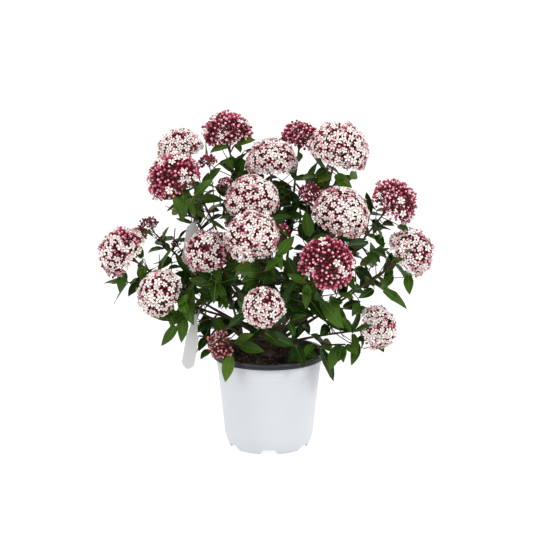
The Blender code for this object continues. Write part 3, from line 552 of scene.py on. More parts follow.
def earth_finish(name, base):
    """Damp potting mix: crumbs of two browns with pores between them."""
    finish = Finish(name, Specular_IOR_Level=0.25)
    grain = finish.noise(420.0, 5.0)
    crumbs = finish.step(finish.cells(330.0), 0.15, 0.6)
    finish.bump(grain * 0.7 + crumbs * 0.6, 1.2 * MM, 0.9)
    pale = finish.mix(finish.step(grain, 0.5, 0.72), base, tinted(base, 3.2))
    return finish.paint(finish.mix(crumbs, pale, tinted(base, 0.6)), 0.95 - 0.25 * grain)


def chip_finish(name, base):
    """Shredded bark: fibres along each chip."""
    finish = Finish(name, Specular_IOR_Level=0.2)
    fibre = finish.noise(700.0, 3.0, (1.0, 0.3, 1.0))
    finish.bump(fibre, 0.5 * MM, 0.8)
    tone = finish.mix(finish.noise(90.0), tinted(base, 0.35), tinted(base, 1.35))
    return finish.paint(tone, 0.7 + 0.2 * fibre)


def bark_finish(name, base, pale):
    """Bark: ridges along the limb, a pale film on them, and small corky spots."""
    finish = Finish(name, Specular_IOR_Level=0.3)
    ridge = finish.noise(520.0, 4.0, (1.0, 1.0, 0.22))
    spots = 1.0 - finish.step(finish.cells(210.0), 0.1, 0.22)
    film = finish.step(finish.noise(45.0, 3.0), 0.45, 0.7)
    finish.bump(ridge + spots * 0.5, 0.5 * MM, 0.8)
    wood = finish.mix(ridge, tinted(base, 0.55), tinted(base, 1.3))
    aged = finish.mix(film * 0.35, wood, pale)
    return finish.paint(finish.mix(spots * 0.5, aged, pale), 0.62 + 0.25 * ridge)


def leaf_finish(name, base):
    """A leathery blade: drifts of tone through the crown, a fine quilted surface and an uneven shine."""
    finish = Finish(name, Specular_IOR_Level=0.14, Coat_Weight=0.03, Coat_Roughness=0.12)
    drift = finish.noise(22.0)
    fine = finish.noise(380.0, 3.0)
    finish.bump(fine, 0.25 * MM, 0.6)
    tone = finish.mix(finish.step(drift, 0.3, 0.7), tinted(base, 0.72), tinted(base, 1.3))
    return finish.paint(tone, 0.36 + 0.2 * fine)


def petal_finish(name, base, warm, shine=0.5):
    """Soft petal tissue with faint flushes of a second colour."""
    finish = Finish(name, Specular_IOR_Level=0.22)
    flush = finish.noise(70.0)
    grain = finish.noise(1400.0)
    finish.bump(grain, 0.1 * MM, 0.4)
    return finish.paint(finish.mix(finish.step(flush, 0.42, 0.8), base, warm), shine + 0.15 * grain)


# Meshes


def mesh_of(name, verts, faces, smooth=True):
    mesh = bpy.data.meshes.new(name)
    mesh.from_pydata([tuple(v) for v in verts], [], faces)
    mesh.polygons.foreach_set("use_smooth", [smooth] * len(mesh.polygons))
    mesh.update()
    return mesh


def placed(name, data):
    """A new object in the scene."""
    obj = bpy.data.objects.new(name, data)
    bpy.context.scene.collection.objects.link(obj)
    return obj


@contextlib.contextmanager
def edited(mesh):
    """The mesh's points and faces, open to change."""
    work = bmesh.new()
    work.from_mesh(mesh)
    yield work
    work.to_mesh(mesh)
    work.free()


def gathered(name, meshes):
    """A collection of small meshes, in the order of their numbers."""
    home = bpy.data.collections.new(name)
    bpy.context.scene.collection.children.link(home)
    for number, mesh in enumerate(meshes):
        home.objects.link(bpy.data.objects.new("%s %02d" % (name, number), mesh))
    return home


def discard(home):
    for obj in list(home.objects):
        bpy.data.objects.remove(obj)
    bpy.data.collections.remove(home)


def piece(name, mesh, nodes, finishes=()):
    """Shows a finished mesh as a piece that stands for solids of the frame."""
    mesh.calc_loop_triangles()
    count = len(mesh.loop_triangles)
    if not 0 < count <= MOST_TRIANGLES:
        raise RuntimeError("%s has %d triangles" % (name, count))
    for finish in finishes:
        mesh.materials.append(finish)
    obj = placed(name, mesh)
    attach(obj, "root")
    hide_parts(*nodes)


def solid_copy(obj):
    """The object's mesh with its modifiers applied. The object is removed."""
    bpy.context.view_layer.update()
    graph = bpy.context.evaluated_depsgraph_get()
    mesh = bpy.data.meshes.new_from_object(
        obj.evaluated_get(graph), preserve_all_data_layers=True, depsgraph=graph
    )
    bpy.data.objects.remove(obj)
    return mesh


def welded(mesh):
    with edited(mesh) as work:
        bmesh.ops.remove_doubles(work, verts=work.verts, dist=0.01 * MM)
        bmesh.ops.recalc_face_normals(work, faces=work.faces)
    return mesh


def lathe(profile, steps):
    """Vertices and faces of a profile of (radius, height) points turned about Z."""
    verts = []
    faces = []
    count = len(profile)
    for i in range(steps):
        angle = 2 * math.pi * i / steps
        verts += [(r * math.cos(angle), r * math.sin(angle), z) for r, z in profile]
        here = i * count
        there = (i + 1) % steps * count
        for j in range(count - 1):
            faces.append((here + j, here + j + 1, there + j + 1, there + j))
    return verts, faces


def ring_of(reach, steps):
    """Points (x, y) of a level ring about the axis."""
    angles = [2 * math.pi * i / steps for i in range(steps)]
    return [(reach * math.cos(angle), reach * math.sin(angle)) for angle in angles]


def bands(rows, steps, first=0):
    """Faces between rings of steps points each, from the ring that starts at the first point."""
    faces = []
    for row in range(rows - 1):
        here = first + row * steps
        there = here + steps
        for i in range(steps):
            following = (i + 1) % steps
            faces.append((here + i, there + i, there + following, here + following))
    return faces


# Geometry Nodes


class Tree:
    """A Geometry Nodes tree as it is made, with its inputs by name and kind."""

    def __init__(self, name, **inputs):
        self.tree = bpy.data.node_groups.new(name, "GeometryNodeTree")
        new_socket = self.tree.interface.new_socket
        new_socket("Geometry", in_out="OUTPUT", socket_type="NodeSocketGeometry")
        for label, kind in {"Geometry": "Geometry", **inputs, "Finish": "Material"}.items():
            new_socket(label, in_out="INPUT", socket_type="NodeSocket" + kind)
        self.entry = self.tree.nodes.new("NodeGroupInput")

    def given(self, name):
        return self.entry.outputs[name]

    def maths(self, operation, first, second):
        return self.node("ShaderNodeMath", {"operation": operation}, {0: first, 1: second}).outputs[0]

    def node(self, kind, settings, sockets):
        return new_node(self.tree, kind, settings, sockets)

    def own(self, name, kind):
        """A value that each point of the mesh carries."""
        made = self.node("GeometryNodeInputNamedAttribute", {"data_type": kind}, {"Name": name})
        return next(o for o in made.outputs if o.enabled and o.name == "Attribute")

    def stand(self, points, turn, scale, kind=None):
        """Stands the patterns on points. Each point's kind picks its pattern, or else chance does."""
        patterns = self.node(
            "GeometryNodeCollectionInfo",
            {"transform_space": "ORIGINAL"},
            {"Collection": self.given("Patterns"), "Separate Children": True, "Reset Children": True},
        )
        sockets = {"Points": points, "Instance": patterns.outputs[0], "Pick Instance": True}
        if kind is not None:
            sockets["Instance Index"] = kind
        sockets.update({"Rotation": turn, "Scale": scale})
        return self.node("GeometryNodeInstanceOnPoints", {}, sockets).outputs[0]

    def finished(self, geometry):
        """Real geometry with its material, which every tree ends in."""
        real = self.node("GeometryNodeRealizeInstances", {}, {"Geometry": geometry}).outputs[0]
        done = self.node("GeometryNodeSetMaterial", {}, {"Geometry": real, "Material": self.given("Finish")})
        self.node("NodeGroupOutput", {}, {"Geometry": done.outputs[0]})
        return self.tree


@functools.lru_cache(maxsize=None)
def stand_tree():
    """Stands a pattern on each point, turned, sized and chosen by the point's own values."""
    tree = Tree("stand on points", Patterns="Collection", Size="Float")
    turn = tree.node("FunctionNodeEulerToRotation", {}, {0: tree.own("turn", "FLOAT_VECTOR")}).outputs[0]
    scale = tree.maths("MULTIPLY", tree.own("size", "FLOAT"), tree.given("Size"))
    return tree.finished(tree.stand(tree.given("Geometry"), turn, scale, tree.own("kind", "INT")))


@functools.lru_cache(maxsize=None)
def limb_tree():
    """Sweeps a round section along each line, as thick as its points say, with ridges along it."""
    tree = Tree("limbs along lines", Sides="Int", Relief="Float")
    lines = tree.node("GeometryNodeMeshToCurve", {}, {"Mesh": tree.given("Geometry")}).outputs[0]
    sockets = {"Resolution": tree.given("Sides"), "Radius": 1.0}
    ring = tree.node("GeometryNodeCurvePrimitiveCircle", {}, sockets).outputs[0]
    thick = tree.own("thick", "FLOAT")
    sockets = {"Curve": lines, "Profile Curve": ring, "Scale": thick, "Fill Caps": True}
    swept = tree.node("GeometryNodeCurveToMesh", {}, sockets).outputs[0]
    where = tree.node("GeometryNodeInputPosition", {}, {}).outputs[0]
    sockets = {0: where, 1: (1.0, 1.0, 0.3)}
    squeezed = tree.node("ShaderNodeVectorMath", {"operation": "MULTIPLY"}, sockets).outputs[0]
    noise = tree.node("ShaderNodeTexNoise", {}, {"Vector": squeezed, "Scale": 330.0, "Detail": 2.0})
    depth = tree.maths("MULTIPLY", tree.maths("SUBTRACT", noise.outputs[0], 0.5), tree.given("Relief"))
    out = tree.node("GeometryNodeInputNormal", {}, {}).outputs[0]
    offset = tree.node("ShaderNodeVectorMath", {"operation": "SCALE"}, {0: out, "Scale": depth}).outputs[0]
    moved = tree.node("GeometryNodeSetPosition", {}, {"Geometry": swept, "Offset": offset}).outputs[0]
    return tree.finished(tree.node("GeometryNodeSetShadeSmooth", {}, {"Geometry": moved}).outputs[0])


@functools.lru_cache(maxsize=None)
def scatter_tree():
    """Scatters patterns over a surface, each lying at its own angle and of its own size."""
    inputs = {"Patterns": "Collection", "Density": "Float", "Smallest": "Float", "Largest": "Float"}
    tree = Tree("scatter over surface", **inputs, Seed="Int")
    seed = tree.given("Seed")
    sockets = {"Mesh": tree.given("Geometry"), "Density": tree.given("Density"), "Seed": seed}
    points = tree.node("GeometryNodeDistributePointsOnFaces", {}, sockets).outputs[0]
    sockets = {0: (-0.5, -0.5, -3.1), 1: (0.5, 0.5, 3.1), "Seed": seed}
    tilt = tree.node("FunctionNodeRandomValue", {"data_type": "FLOAT_VECTOR"}, sockets).outputs[0]
    turn = tree.node("FunctionNodeEulerToRotation", {}, {0: tilt}).outputs[0]
    sockets = {2: tree.given("Smallest"), 3: tree.given("Largest"), "Seed": seed}
    scale = tree.node("FunctionNodeRandomValue", {"data_type": "FLOAT"}, sockets).outputs[1]
    return tree.finished(tree.stand(points, turn, scale))


def by_nodes(mesh, tree, values):
    """The plain mesh that a tree makes of a mesh, with its inputs set by their identifiers."""
    obj = placed("start", mesh)
    modifier = obj.modifiers.new("grow", "NODES")
    modifier.node_group = tree
    for socket in tree.interface.items_tree:
        if socket.in_out == "INPUT" and socket.name in values:
            modifier[socket.identifier] = values[socket.name]
    made = solid_copy(obj)
    made.materials.clear()
    made.materials.append(values["Finish"])
    made.polygons.foreach_set("material_index", [0] * len(made.polygons))
    return made


def with_patterns(mesh, tree, patterns, values):
    """What a tree makes of a mesh and of small meshes that it may copy."""
    home = gathered("pattern", patterns)
    made = by_nodes(mesh, tree, {"Patterns": home, **values})
    discard(home)
    return made


class Stand:
    """Places where copies of a pattern go: each with its turn, size and kind."""

    def __init__(self):
        self.rows = []

    def add(self, place, turn, scale, kind=0):
        self.rows.append((tuple(place), tuple(turn.to_euler()), scale, kind))

    def mesh(self):
        places, turns, sizes, kinds = zip(*self.rows)
        made = bpy.data.meshes.new("places")
        made.from_pydata(places, [], [])
        turn = made.attributes.new("turn", "FLOAT_VECTOR", "POINT")
        turn.data.foreach_set("vector", np.array(turns, np.float32).ravel())
        made.attributes.new("size", "FLOAT", "POINT").data.foreach_set("value", sizes)
        made.attributes.new("kind", "INT", "POINT").data.foreach_set("value", kinds)
        return made

    def grown(self, meshes, finish):
        return with_patterns(self.mesh(), stand_tree(), meshes, {"Size": 1.0, "Finish": finish})


class Limbs:
    """Lines that limbs are swept along, with the radius at each point."""

    def __init__(self):
        self.points = []
        self.edges = []
        self.thick = []

    def add(self, line, radii):
        first = len(self.points)
        self.points += [tuple(p) for p in line]
        self.thick += [float(r) for r in radii]
        self.edges += [(first + i, first + i + 1) for i in range(len(line) - 1)]

    def grown(self, sides, relief, finish):
        mesh = bpy.data.meshes.new("lines")
        mesh.from_pydata(self.points, self.edges, [])
        mesh.attributes.new("thick", "FLOAT", "POINT").data.foreach_set("value", self.thick)
        return by_nodes(mesh, limb_tree(), {"Sides": sides, "Relief": relief, "Finish": finish})


# Growth: lines of the limbs


def curve_between(start, start_way, end, end_way, count):
    """Points on a cubic curve that leaves start along start_way and reaches end along end_way."""
    reach = (end - start).length
    first = start + start_way.normalized() * reach * CURVE_PULL
    last = end - end_way.normalized() * reach * CURVE_PULL
    points = []
    for i in range(count):
        t = i / (count - 1)
        points.append(
            start * (1 - t) ** 3 + first * 3 * t * (1 - t) ** 2 + last * 3 * t * t * (1 - t) + end * t**3
        )
    return points


def way_along(points, share):
    """Place and direction on a line of points, at a share of its length."""
    spans = [(b - a).length for a, b in zip(points, points[1:])]
    left = share * sum(spans)
    for a, b, span in zip(points, points[1:], spans):
        if left <= span + 1e-9:
            return a.lerp(b, min(1.0, left / span)), (b - a).normalized()
        left -= span
    return points[-1].copy(), (points[-1] - points[-2]).normalized()


def length_of(points):
    return sum((b - a).length for a, b in zip(points, points[1:]))


def part_of(points, first, last, count):
    return [way_along(points, first + (last - first) * i / (count - 1))[0] for i in range(count)]


def rounded(points, count):
    """A smooth line through a few points, with no corners."""
    dots = [points[0] * 2 - points[1]] + list(points) + [points[-1] * 2 - points[-2]]
    line = []
    for i in range(count):
        where = i / (count - 1) * (len(points) - 1)
        k = min(int(where), len(points) - 2)
        t = where - k
        a, b, c, d = dots[k : k + 4]
        line.append(
            (b * 2 + (c - a) * t + (a * 2 - b * 5 + c * 4 - d) * t * t + (b * 3 - a - c * 3 + d) * t**3) * 0.5
        )
    return line


def stem_radius(share):
    shares = [s for s, _ in STEM_RADII]
    return float(np.interp(share, shares, [r * MM for _, r in STEM_RADII]))


def stem_middle(share):
    return Vector((0.0, 0.0, STEM_FOOT + STEM_HEIGHT * share)) + STEM_LEAN * share


def facing(middle):
    """The way a flower head looks: out from the middle of the plant, and a little up."""
    away = (middle - FOCUS).normalized()
    return (away + 0.25 * UP).normalized()


class Head:
    """A flower head: the middle of its dome, its radius, the way it faces, and how far it has opened."""

    def __init__(self, name, middle, radius, opened=OPEN):
        self.name = name
        self.middle = Vector(middle) * MM
        self.radius = radius * MM
        self.way = facing(self.middle)
        self.foot = self.middle - self.way * self.radius * RAYS_DROP
        self.opened = opened


class Shoot:
    """A shoot: its own line, its side shoots, the heads it bears, and its sprays of leaves."""

    def __init__(self, name, line, heads):
        self.name = name
        self.line = line
        self.heads = heads
        self.sides = []
        self.sprays = []

    def lines(self):
        return [self.line] + self.sides


def bough_lines():
    """The whole line of each bough, from the main stem to the flower head that it leads to."""
    lines = {}
    for name, (leader, share) in BOUGHS.items():
        middle, radius = HEADS[leader][:2]
        head = Head(leader, middle, radius)
        root = stem_middle(share)
        flat = Vector((head.middle.x - root.x, head.middle.y - root.y, 0.0)).normalized()
        rise = (head.middle - root).normalized()
        start_way = (flat * 0.75 + UP * 0.5 + rise * 0.5).normalized()
        clear = stem_radius(share) + GAP + BOUGH_FOOT_RADIUS * start_way.z
        lines[name] = curve_between(root + flat * clear, start_way, head.foot, head.way, BOUGH_POINTS)
    return lines


def branch_line(whole, share, end, end_way, count):
    """A line that leaves the side of a bough, clear of its bark, and runs to end."""
    root, along = way_along(whole, share * BOUGH_SHARE)
    toward = (end - root).normalized()
    side = (toward - along * toward.dot(along)).normalized()
    radius = BOUGH_FOOT_RADIUS + (BOUGH_TIP_RADIUS - BOUGH_FOOT_RADIUS) * share
    start_way = (side * 0.8 + along * 0.6).normalized()
    clear = radius + GAP + TWIG_FOOT_RADIUS * start_way.dot(along)
    return curve_between(root + side * clear, start_way, end, end_way, count)


def grow_shoots(boughs):
    """Every shoot's line, from its bough to its flower head, with the side shoots that bear small heads."""
    shoots = {}
    for name, (middle, radius, bough, share, opened) in HEADS.items():
        head = Head(name, middle, radius, opened)
        whole = boughs[bough]
        if share is None:
            gap_share = GAP / length_of(whole)
            line = part_of(whole, BOUGH_SHARE + gap_share, 1.0, TWIG_POINTS)
        else:
            line = branch_line(whole, share, head.foot, head.way, TWIG_POINTS)
        shoots[name] = Shoot(name, line, [head])
    for name, (tip, bough, share) in LEAFY.items():
        end = Vector(tip) * MM
        line = branch_line(boughs[bough], share, end, facing(end), TWIG_POINTS)
        shoots[name] = Shoot(name, line, [])
    for name, (middle, radius, bearer, opened) in SIDE_HEADS.items():
        head = Head(name, middle, radius, opened)
        shoot = shoots[bearer]
        start, way = way_along(shoot.line, 0.25)
        outward = (head.foot - start).normalized()
        shoot.sides.append(curve_between(start, way + outward, head.foot, head.way, SIDE_POINTS + 1))
        shoot.heads.append(head)
    return shoots


class Tag:
    """A blank plastic tag: a plate that hangs from a loop round a shoot."""

    def __init__(self, name, shoot, share, turn, width, length, neck):
        self.name = name
        self.hang, self.way = way_along(shoot.line, share)
        radius = TWIG_FOOT_RADIUS + (TWIG_TIP_RADIUS - TWIG_FOOT_RADIUS) * share
        down = (self.way * self.way.z - UP).normalized()
        self.loop = self.hang + down * (TAG_LOOP - TAG_WIRE - radius - GAP)
        self.half = Vector((width * MM / 2, TAG_THICKNESS / 2, length * MM / 2))
        self.frame = Matrix.Rotation(math.radians(turn), 3, "Z")
        self.middle = self.loop + down * TAG_LOOP - UP * (self.half.z - MM)
        self.neck = neck * MM

    def near(self, points):
        """True if a point is close to the plate or the loop."""
        local = np.abs((points - np.array(self.middle)) @ np.array(self.frame))
        beside = (local < np.array(self.half) + TAG_ROOM).all(axis=1)
        return beside.any() or (np.linalg.norm(points - np.array(self.hang), axis=1) < LOOP_ROOM).any()


# Growth: leaves that keep to their shoot's space


def samples(line, step=4 * MM):
    count = max(2, int(length_of(line) / step) + 1)
    return np.array([way_along(line, i / (count - 1))[0] for i in range(count)])


class Space:
    """Tells whose space a point is in: the shoot whose line or flower head is nearest."""

    def __init__(self, shoots, boughs, tags):
        self.tags = tags
        self.number = {name: i for i, name in enumerate(shoots)}
        points, reach, self.starts = [], [], []
        for shoot in shoots.values():
            self.starts.append(sum(len(p) for p in points))
            for line in shoot.lines():
                points.append(samples(line))
                reach.append(np.zeros(len(points[-1])))
            for head in shoot.heads:
                points.append(np.array([head.middle]))
                reach.append(np.array([head.radius]))
        self.points = np.concatenate(points)
        self.reach = np.concatenate(reach)
        self.domes = self.reach > 0
        limbs, radii = [], []
        for line in boughs.values():
            limbs.append(samples(part_of(line, 0.0, BOUGH_SHARE, BOUGH_SPANS)))
            radii.append(np.linspace(BOUGH_FOOT_RADIUS, BOUGH_TIP_RADIUS, len(limbs[-1])))
        limbs.append(np.array([stem_middle(i / STEM_SPANS) for i in range(STEM_SPANS + 1)]))
        radii.append(np.array([stem_radius(i / STEM_SPANS) for i in range(STEM_SPANS + 1)]))
        self.limbs = np.concatenate(limbs)
        self.limb_radii = np.concatenate(radii)

    def holds(self, name, points, margin):
        """True if the points are in the shoot's own space and clear of limbs, heads, tags, pot and soil."""
        bark = np.linalg.norm(points[:, None, :] - self.limbs[None], axis=2) - self.limb_radii[None]
        if bark.min() < LIMB_MARGIN or any(tag.near(points) for tag in self.tags):
            return False
        away = np.linalg.norm(points[:, None, :] - self.points[None], axis=2)
        nearest = np.minimum.reduceat(away - self.reach[None], self.starts, axis=1)
        own = nearest[:, self.number[name]].copy()
        nearest[:, self.number[name]] = 1.0
        if (nearest < own[:, None] + margin).any():
            return False
        if (away[:, self.domes] < self.reach[self.domes] * DOME_CORE).any():
            return False
        flat = np.hypot(points[:, 0], points[:, 1])
        in_pot = (flat < RIM_RADIUS + 2 * MM) & (points[:, 2] < POT_HEIGHT + 3 * MM)
        return not in_pot.any() and points[:, 2].min() > LOWEST_LEAF


def leaf_shape(s, side, length, droop, width_share=LEAF_WIDTH):
    """A point of a leaf in its own frame: s runs from root to tip, side from -1 to 1 across it."""
    width = width_share * length * math.sin(math.pi * s**0.8) ** 0.9 / 2
    fold = 0.22 * width * abs(side)
    return Vector((length * s * (1 - 0.12 * droop * s), side * width, fold - droop * length * 0.34 * s * s))


def leaf_frame(way, upper):
    """Columns: along the leaf, across it, and out of its upper face."""
    along = way.normalized()
    out = (upper - along * upper.dot(along)).normalized()
    across = out.cross(along)
    return Matrix((along, across, out)).transposed()


class Leaf:
    def __init__(self, root, way, upper, length, droop):
        self.root = root
        self.frame = leaf_frame(way, upper)
        self.length = length
        self.droop = droop

    def settle(self, rng):
        """Its weight draws the leaf down, and its face turns to the light outside."""
        outward = Vector((self.root.x, self.root.y, 0.0)).normalized()
        way = self.frame.col[0] - UP * rng.uniform(*SAG)
        self.frame = leaf_frame(way, self.frame.col[2] + outward * rng.uniform(*TURN_OUT))

    def points(self, places):
        shapes = [leaf_shape(s, side, self.length, self.droop) for s, side in places]
        return np.array([self.root + self.frame @ shape for shape in shapes])

    def midline(self):
        return self.points([(s, 0.0) for s in (0.25, 0.4, 0.55, 0.7, 0.85, 1.0)])

    def outline(self):
        """Points all over the blade, past the root that is sunk in the twig."""
        return self.points([(s, side) for s in (0.2, 0.4, 0.6, 0.8, 1.0) for side in (-1, 0, 1)])


class Spray:
    """Leaves that grow together and share a tone: 0 dark, 1 middle, 2 fresh. A short twig may carry them."""

    def __init__(self, leaves, tone, twig=None, fine=False):
        self.leaves = leaves
        self.tone = tone
        self.twig = twig
        self.fine = fine

    def thin(self, rng):
        """Lets the leaves hang, and drops those that would cross an opening."""
        room = FINE_ROOM if self.fine else FIRST_ROOM
        for leaf in self.leaves:
            leaf.settle(rng)
        self.leaves = [leaf for leaf in self.leaves if room_beside_openings(leaf) > room]

    def shade(self):
        """Painted shade: leaves deep in the crown or low in its middle are made a tone darker for each."""
        roots = [leaf.root for leaf in self.leaves]
        deep = any(math.hypot(root.x, root.y) < DEEP_RADIUS for root in roots)
        low = any(root.z < LOW_HEIGHT and abs(root.x) < LOW_HALF_WIDTH for root in roots)
        self.tone = max(0, self.tone - deep - low)


def room_beside_openings(leaf):
    """How far the leaf's midline, seen from the front, clears the nearest opening."""
    eye = np.array(EYE)
    points = leaf.midline()
    seen = eye + (points - eye) * (-eye[1] / (points[:, 1] - eye[1]))[:, None]
    openings = np.array(OPENINGS) * MM
    away = np.linalg.norm(seen[:, None, [0, 2]] - openings[None, :, :2], axis=2)
    return (away - openings[None, :, 2]).min()


def node_frame(line, share):
    """A node's place, the way of its twig, and two directions square to it, the first level."""
    root, along = way_along(line, share)
    level = along.cross(UP)
    if level.length < 0.2:
        level = Vector((1.0, 0.0, 0.0))
    level = (level - along * level.dot(along)).normalized()
    return root, along, level, along.cross(level)


def pair_at(line, share, turn, length, spread, droop, rng, fits):
    """The leaves of an opposite pair at a node that fit, each tried again smaller and turned a little."""
    root, along, level, other = node_frame(line, share)
    turn += rng.uniform(-0.3, 0.3)
    kept = []
    for half in (0.0, math.pi):
        sag = rng.uniform(0.0, 0.35)
        length_here = length * rng.uniform(0.85, 1.1)
        bend = droop * rng.uniform(0.6, 1.2)
        for shrink, swing in LEAF_TRIES:
            angle = turn + half + swing
            side = level * math.cos(angle) + other * math.sin(angle)
            upper = UP * 0.8 + along * 0.6
            leaf = Leaf(root, side + along * spread - UP * sag, upper, length_here * shrink, bend)
            if fits(leaf.outline()):
                kept.append(leaf)
                break
    return kept


def tone_of(rng, share, outer):
    """Fresher towards the shoot's tip and the outside of the crown."""
    fresh = 0.05 + 0.35 * share * outer
    pick = rng.random()
    if pick < fresh:
        return 2
    return 1 if pick < fresh + 0.25 + 0.35 * outer else 0


def leafy_part(line, spacing):
    """The line's length, the length of it that bears leaves, and how many nodes that has."""
    total = length_of(line)
    leafy = total - FIRST_NODE - LAST_NODE
    return total, leafy, max(2, int(leafy / spacing) + 1)


def grow_leaves(shoots, space, settings):
    """The leaves that the solids share, then finer growth between them."""
    for number, (name, shoot) in enumerate(shoots.items()):
        rng = random.Random(SEED + number)
        tones = random.Random(SEED * 7 + number)

        def fits(points, name=name):
            return space.holds(name, points, CELL_MARGIN)

        line = shoot.line
        bearing = len(shoot.sides)
        total, leafy, nodes = leafy_part(line, NODE_SPACING)
        for i in range(nodes):
            share = 1.0 - (LAST_NODE + i * leafy / (nodes - 1)) / total
            top = i == 0
            length = LEAF_LENGTH * (0.85 if top else 1.0)
            spread = 0.15 if top and shoot.heads else 0.5
            leaves = pair_at(line, share, i * math.pi / 2, length, spread, 0.5, rng, fits)
            shoot.sprays.append(Spray(leaves, 2 if top and shoot.heads else tone_of(tones, share, 0.7)))
            if i > 0:
                side = grow_side_shoot(shoot, share, i, rng, fits)
                if side:
                    shoot.sides.append(side[0])
                    shoot.sprays.append(Spray(side[1], tone_of(tones, share, 0.8), side[0]))
        for side in shoot.sides[:bearing]:
            leaves = pair_at(side, 0.8, 0.4, LEAF_LENGTH * 0.7, 0.2, 0.6, rng, fits)
            shoot.sprays.append(Spray(leaves, 1))
        if not shoot.heads:
            leaves = pair_at(line, 0.99, 0.8, LEAF_LENGTH * 0.9, 1.4, 0.3, rng, fits)
            shoot.sprays.append(Spray(leaves, 2))
        grow_fine(shoot, number, space, settings)


def grow_side_shoot(shoot, share, number, rng, fits):
    """A short twig from a leaf's axil, with a pair half way and a pair at its tip. None if it doesn't fit."""
    root, along, level, other = node_frame(shoot.line, share)
    first_turn = number * math.pi / 2 + rng.uniform(-0.4, 0.4)
    for attempt in range(4):
        turn = first_turn + attempt * math.pi / 2
        side = level * math.cos(turn) + other * math.sin(turn)
        way = (side * 0.85 + along * 0.6 + UP * 0.25).normalized()
        end = root + way * SIDE_SHOOT_LENGTH * (1.1 - 0.15 * attempt)
        line = curve_between(root, way, end, way + UP * 0.4, SIDE_POINTS)
        if not fits(samples(line)[3:]):
            continue
        leaves = []
        for node, spread in ((0.5, 0.5), (0.97, 1.1)):
            leaves += pair_at(line, node, number + node * 3, LEAF_LENGTH * 0.85, spread, 0.4, rng, fits)
        if len(leaves) >= 2:
            return line, leaves
    return None


def grow_fine(shoot, number, space, settings):
    """Smaller pairs between the first ones and short finer twigs, all within the shoot's reach."""
    rng = random.Random(SEED * 31 + number)

    def fits(points):
        across, back, up = points.T
        over_soil = (up < BARE_TOP) & (back < BARE_FRONT) & (np.abs(across) < RIM_RADIUS)
        return not over_soil.any() and space.holds(shoot.name, points, FINE_CELL_MARGIN)

    line = shoot.line
    total, leafy, nodes = leafy_part(line, settings.spacing)
    for i in range(nodes):
        share = 1.0 - (LAST_NODE + 0.5 * settings.spacing + i * leafy / nodes) / total
        leaves = pair_at(line, share, i * 1.7 + 0.8, settings.length, 0.55, 0.5, rng, fits)
        shoot.sprays.append(Spray(leaves, tone_of(rng, share, share), fine=True))
        root, along, level, other = node_frame(line, share)
        for turn_number in range(2):
            turn = i * 2.4 + turn_number * math.pi + rng.uniform(-0.5, 0.5)
            if rng.random() < FINE_TWIG_MISSING:
                continue
            side = level * math.cos(turn) + other * math.sin(turn)
            way = (side * 0.9 + along * 0.5 + UP * rng.uniform(-0.1, 0.35)).normalized()
            reach = rng.uniform(*FINE_TWIG_LENGTH) * MM
            twig = curve_between(root, way, root + way * reach, way + UP * 0.5, 4)
            if not fits(samples(twig)[3:]):
                continue
            leaves = []
            for node, spread in ((0.5, 0.5), (0.98, 1.2)):
                leaves += pair_at(twig, node, i + node * 4, settings.length * 0.9, spread, 0.45, rng, fits)
            if len(leaves) >= 2:
                shoot.sprays.append(Spray(leaves, tone_of(rng, share, share), twig, True))


class Plant:
    """The whole plant as lines, flower heads and sprays of leaves."""

    def __init__(self, settings):
        self.boughs = bough_lines()
        self.shoots = grow_shoots(self.boughs)
        self.tags = [Tag(name, self.shoots[bearer], *rest) for name, (bearer, *rest) in TAGS.items()]
        self.bearing = {name: list(shoot.sides) for name, shoot in self.shoots.items()}
        grow_leaves(self.shoots, Space(self.shoots, self.boughs, self.tags), settings)
        rng = random.Random(SEED)
        self.sprays = [spray for shoot in self.shoots.values() for spray in shoot.sprays]
        for spray in self.sprays:
            spray.thin(rng)
            # Painted shade: sprays deep in the crown or low in its middle turn darker
            spray.shade()
        self.sprays = [spray for spray in self.sprays if spray.leaves] + self.shown_leaves()

    def shown_leaves(self):
        """The leaves that are set one by one, each on a stalk from the nearest twig."""
        lines = [line for shoot in self.shoots.values() for line in shoot.lines()]
        lines += [part_of(line, 0.0, BOUGH_SHARE, BOUGH_SPANS) for line in self.boughs.values()]
        twigs = np.concatenate([samples(line, 2 * MM) for line in lines])
        sprays = []
        for *places, tone, face in SHOWN_LEAVES:
            root, tip = Vector(places[:3]) * MM, Vector(places[3:]) * MM
            start = Vector(twigs[np.argmin(np.linalg.norm(twigs - np.array(root), axis=1))])
            upper = Vector((0.0, -face, 1.15 - 0.6 * face))
            reach = tip - root
            across = reach.cross(upper).normalized()
            way = Matrix.Rotation(SHOWN_ANGLE, 3, across) @ reach
            leaf = Leaf(root, way, upper, reach.length / SHOWN_CHORD, SHOWN_DROOP)
            stalk = None
            if (root - start).length > MM:
                stalk = curve_between(start, root - start + UP * 2 * MM, root, way, 4)
            sprays.append(Spray([leaf], tone, stalk))
        return sprays

    def heads(self):
        return [head for shoot in self.shoots.values() for head in shoot.heads]


@functools.lru_cache(maxsize=None)
def plant():
    return Plant(bpy.context.scene.viburnum_leaves)


def leafy_nodes():
    return [name for name in NODES if name.startswith(("head_", "leaves_"))]


# Pot and potting mix


def wall_radius(height):
    """Outside radius of the pot's straight wall."""
    share = (height - SHOULDER_HEIGHT) / (POT_HEIGHT - SKIRT_HEIGHT - SHOULDER_HEIGHT)
    return SHOULDER_RADIUS + (UNDER_RIM_RADIUS - SHOULDER_RADIUS) * share


def ring_bulge(height, ridge):
    """Shallow rings round the wall: a pair below the rim and one low down."""
    return sum(ridge * share * math.exp(-(((height - at) / wide) ** 2)) for at, wide, share in RINGS)


def from_corner(radius, height, offsets):
    """Points of a section that are given in mm outward and up from one corner."""
    return [(radius + out * MM, height + up * MM) for out, up in offsets]


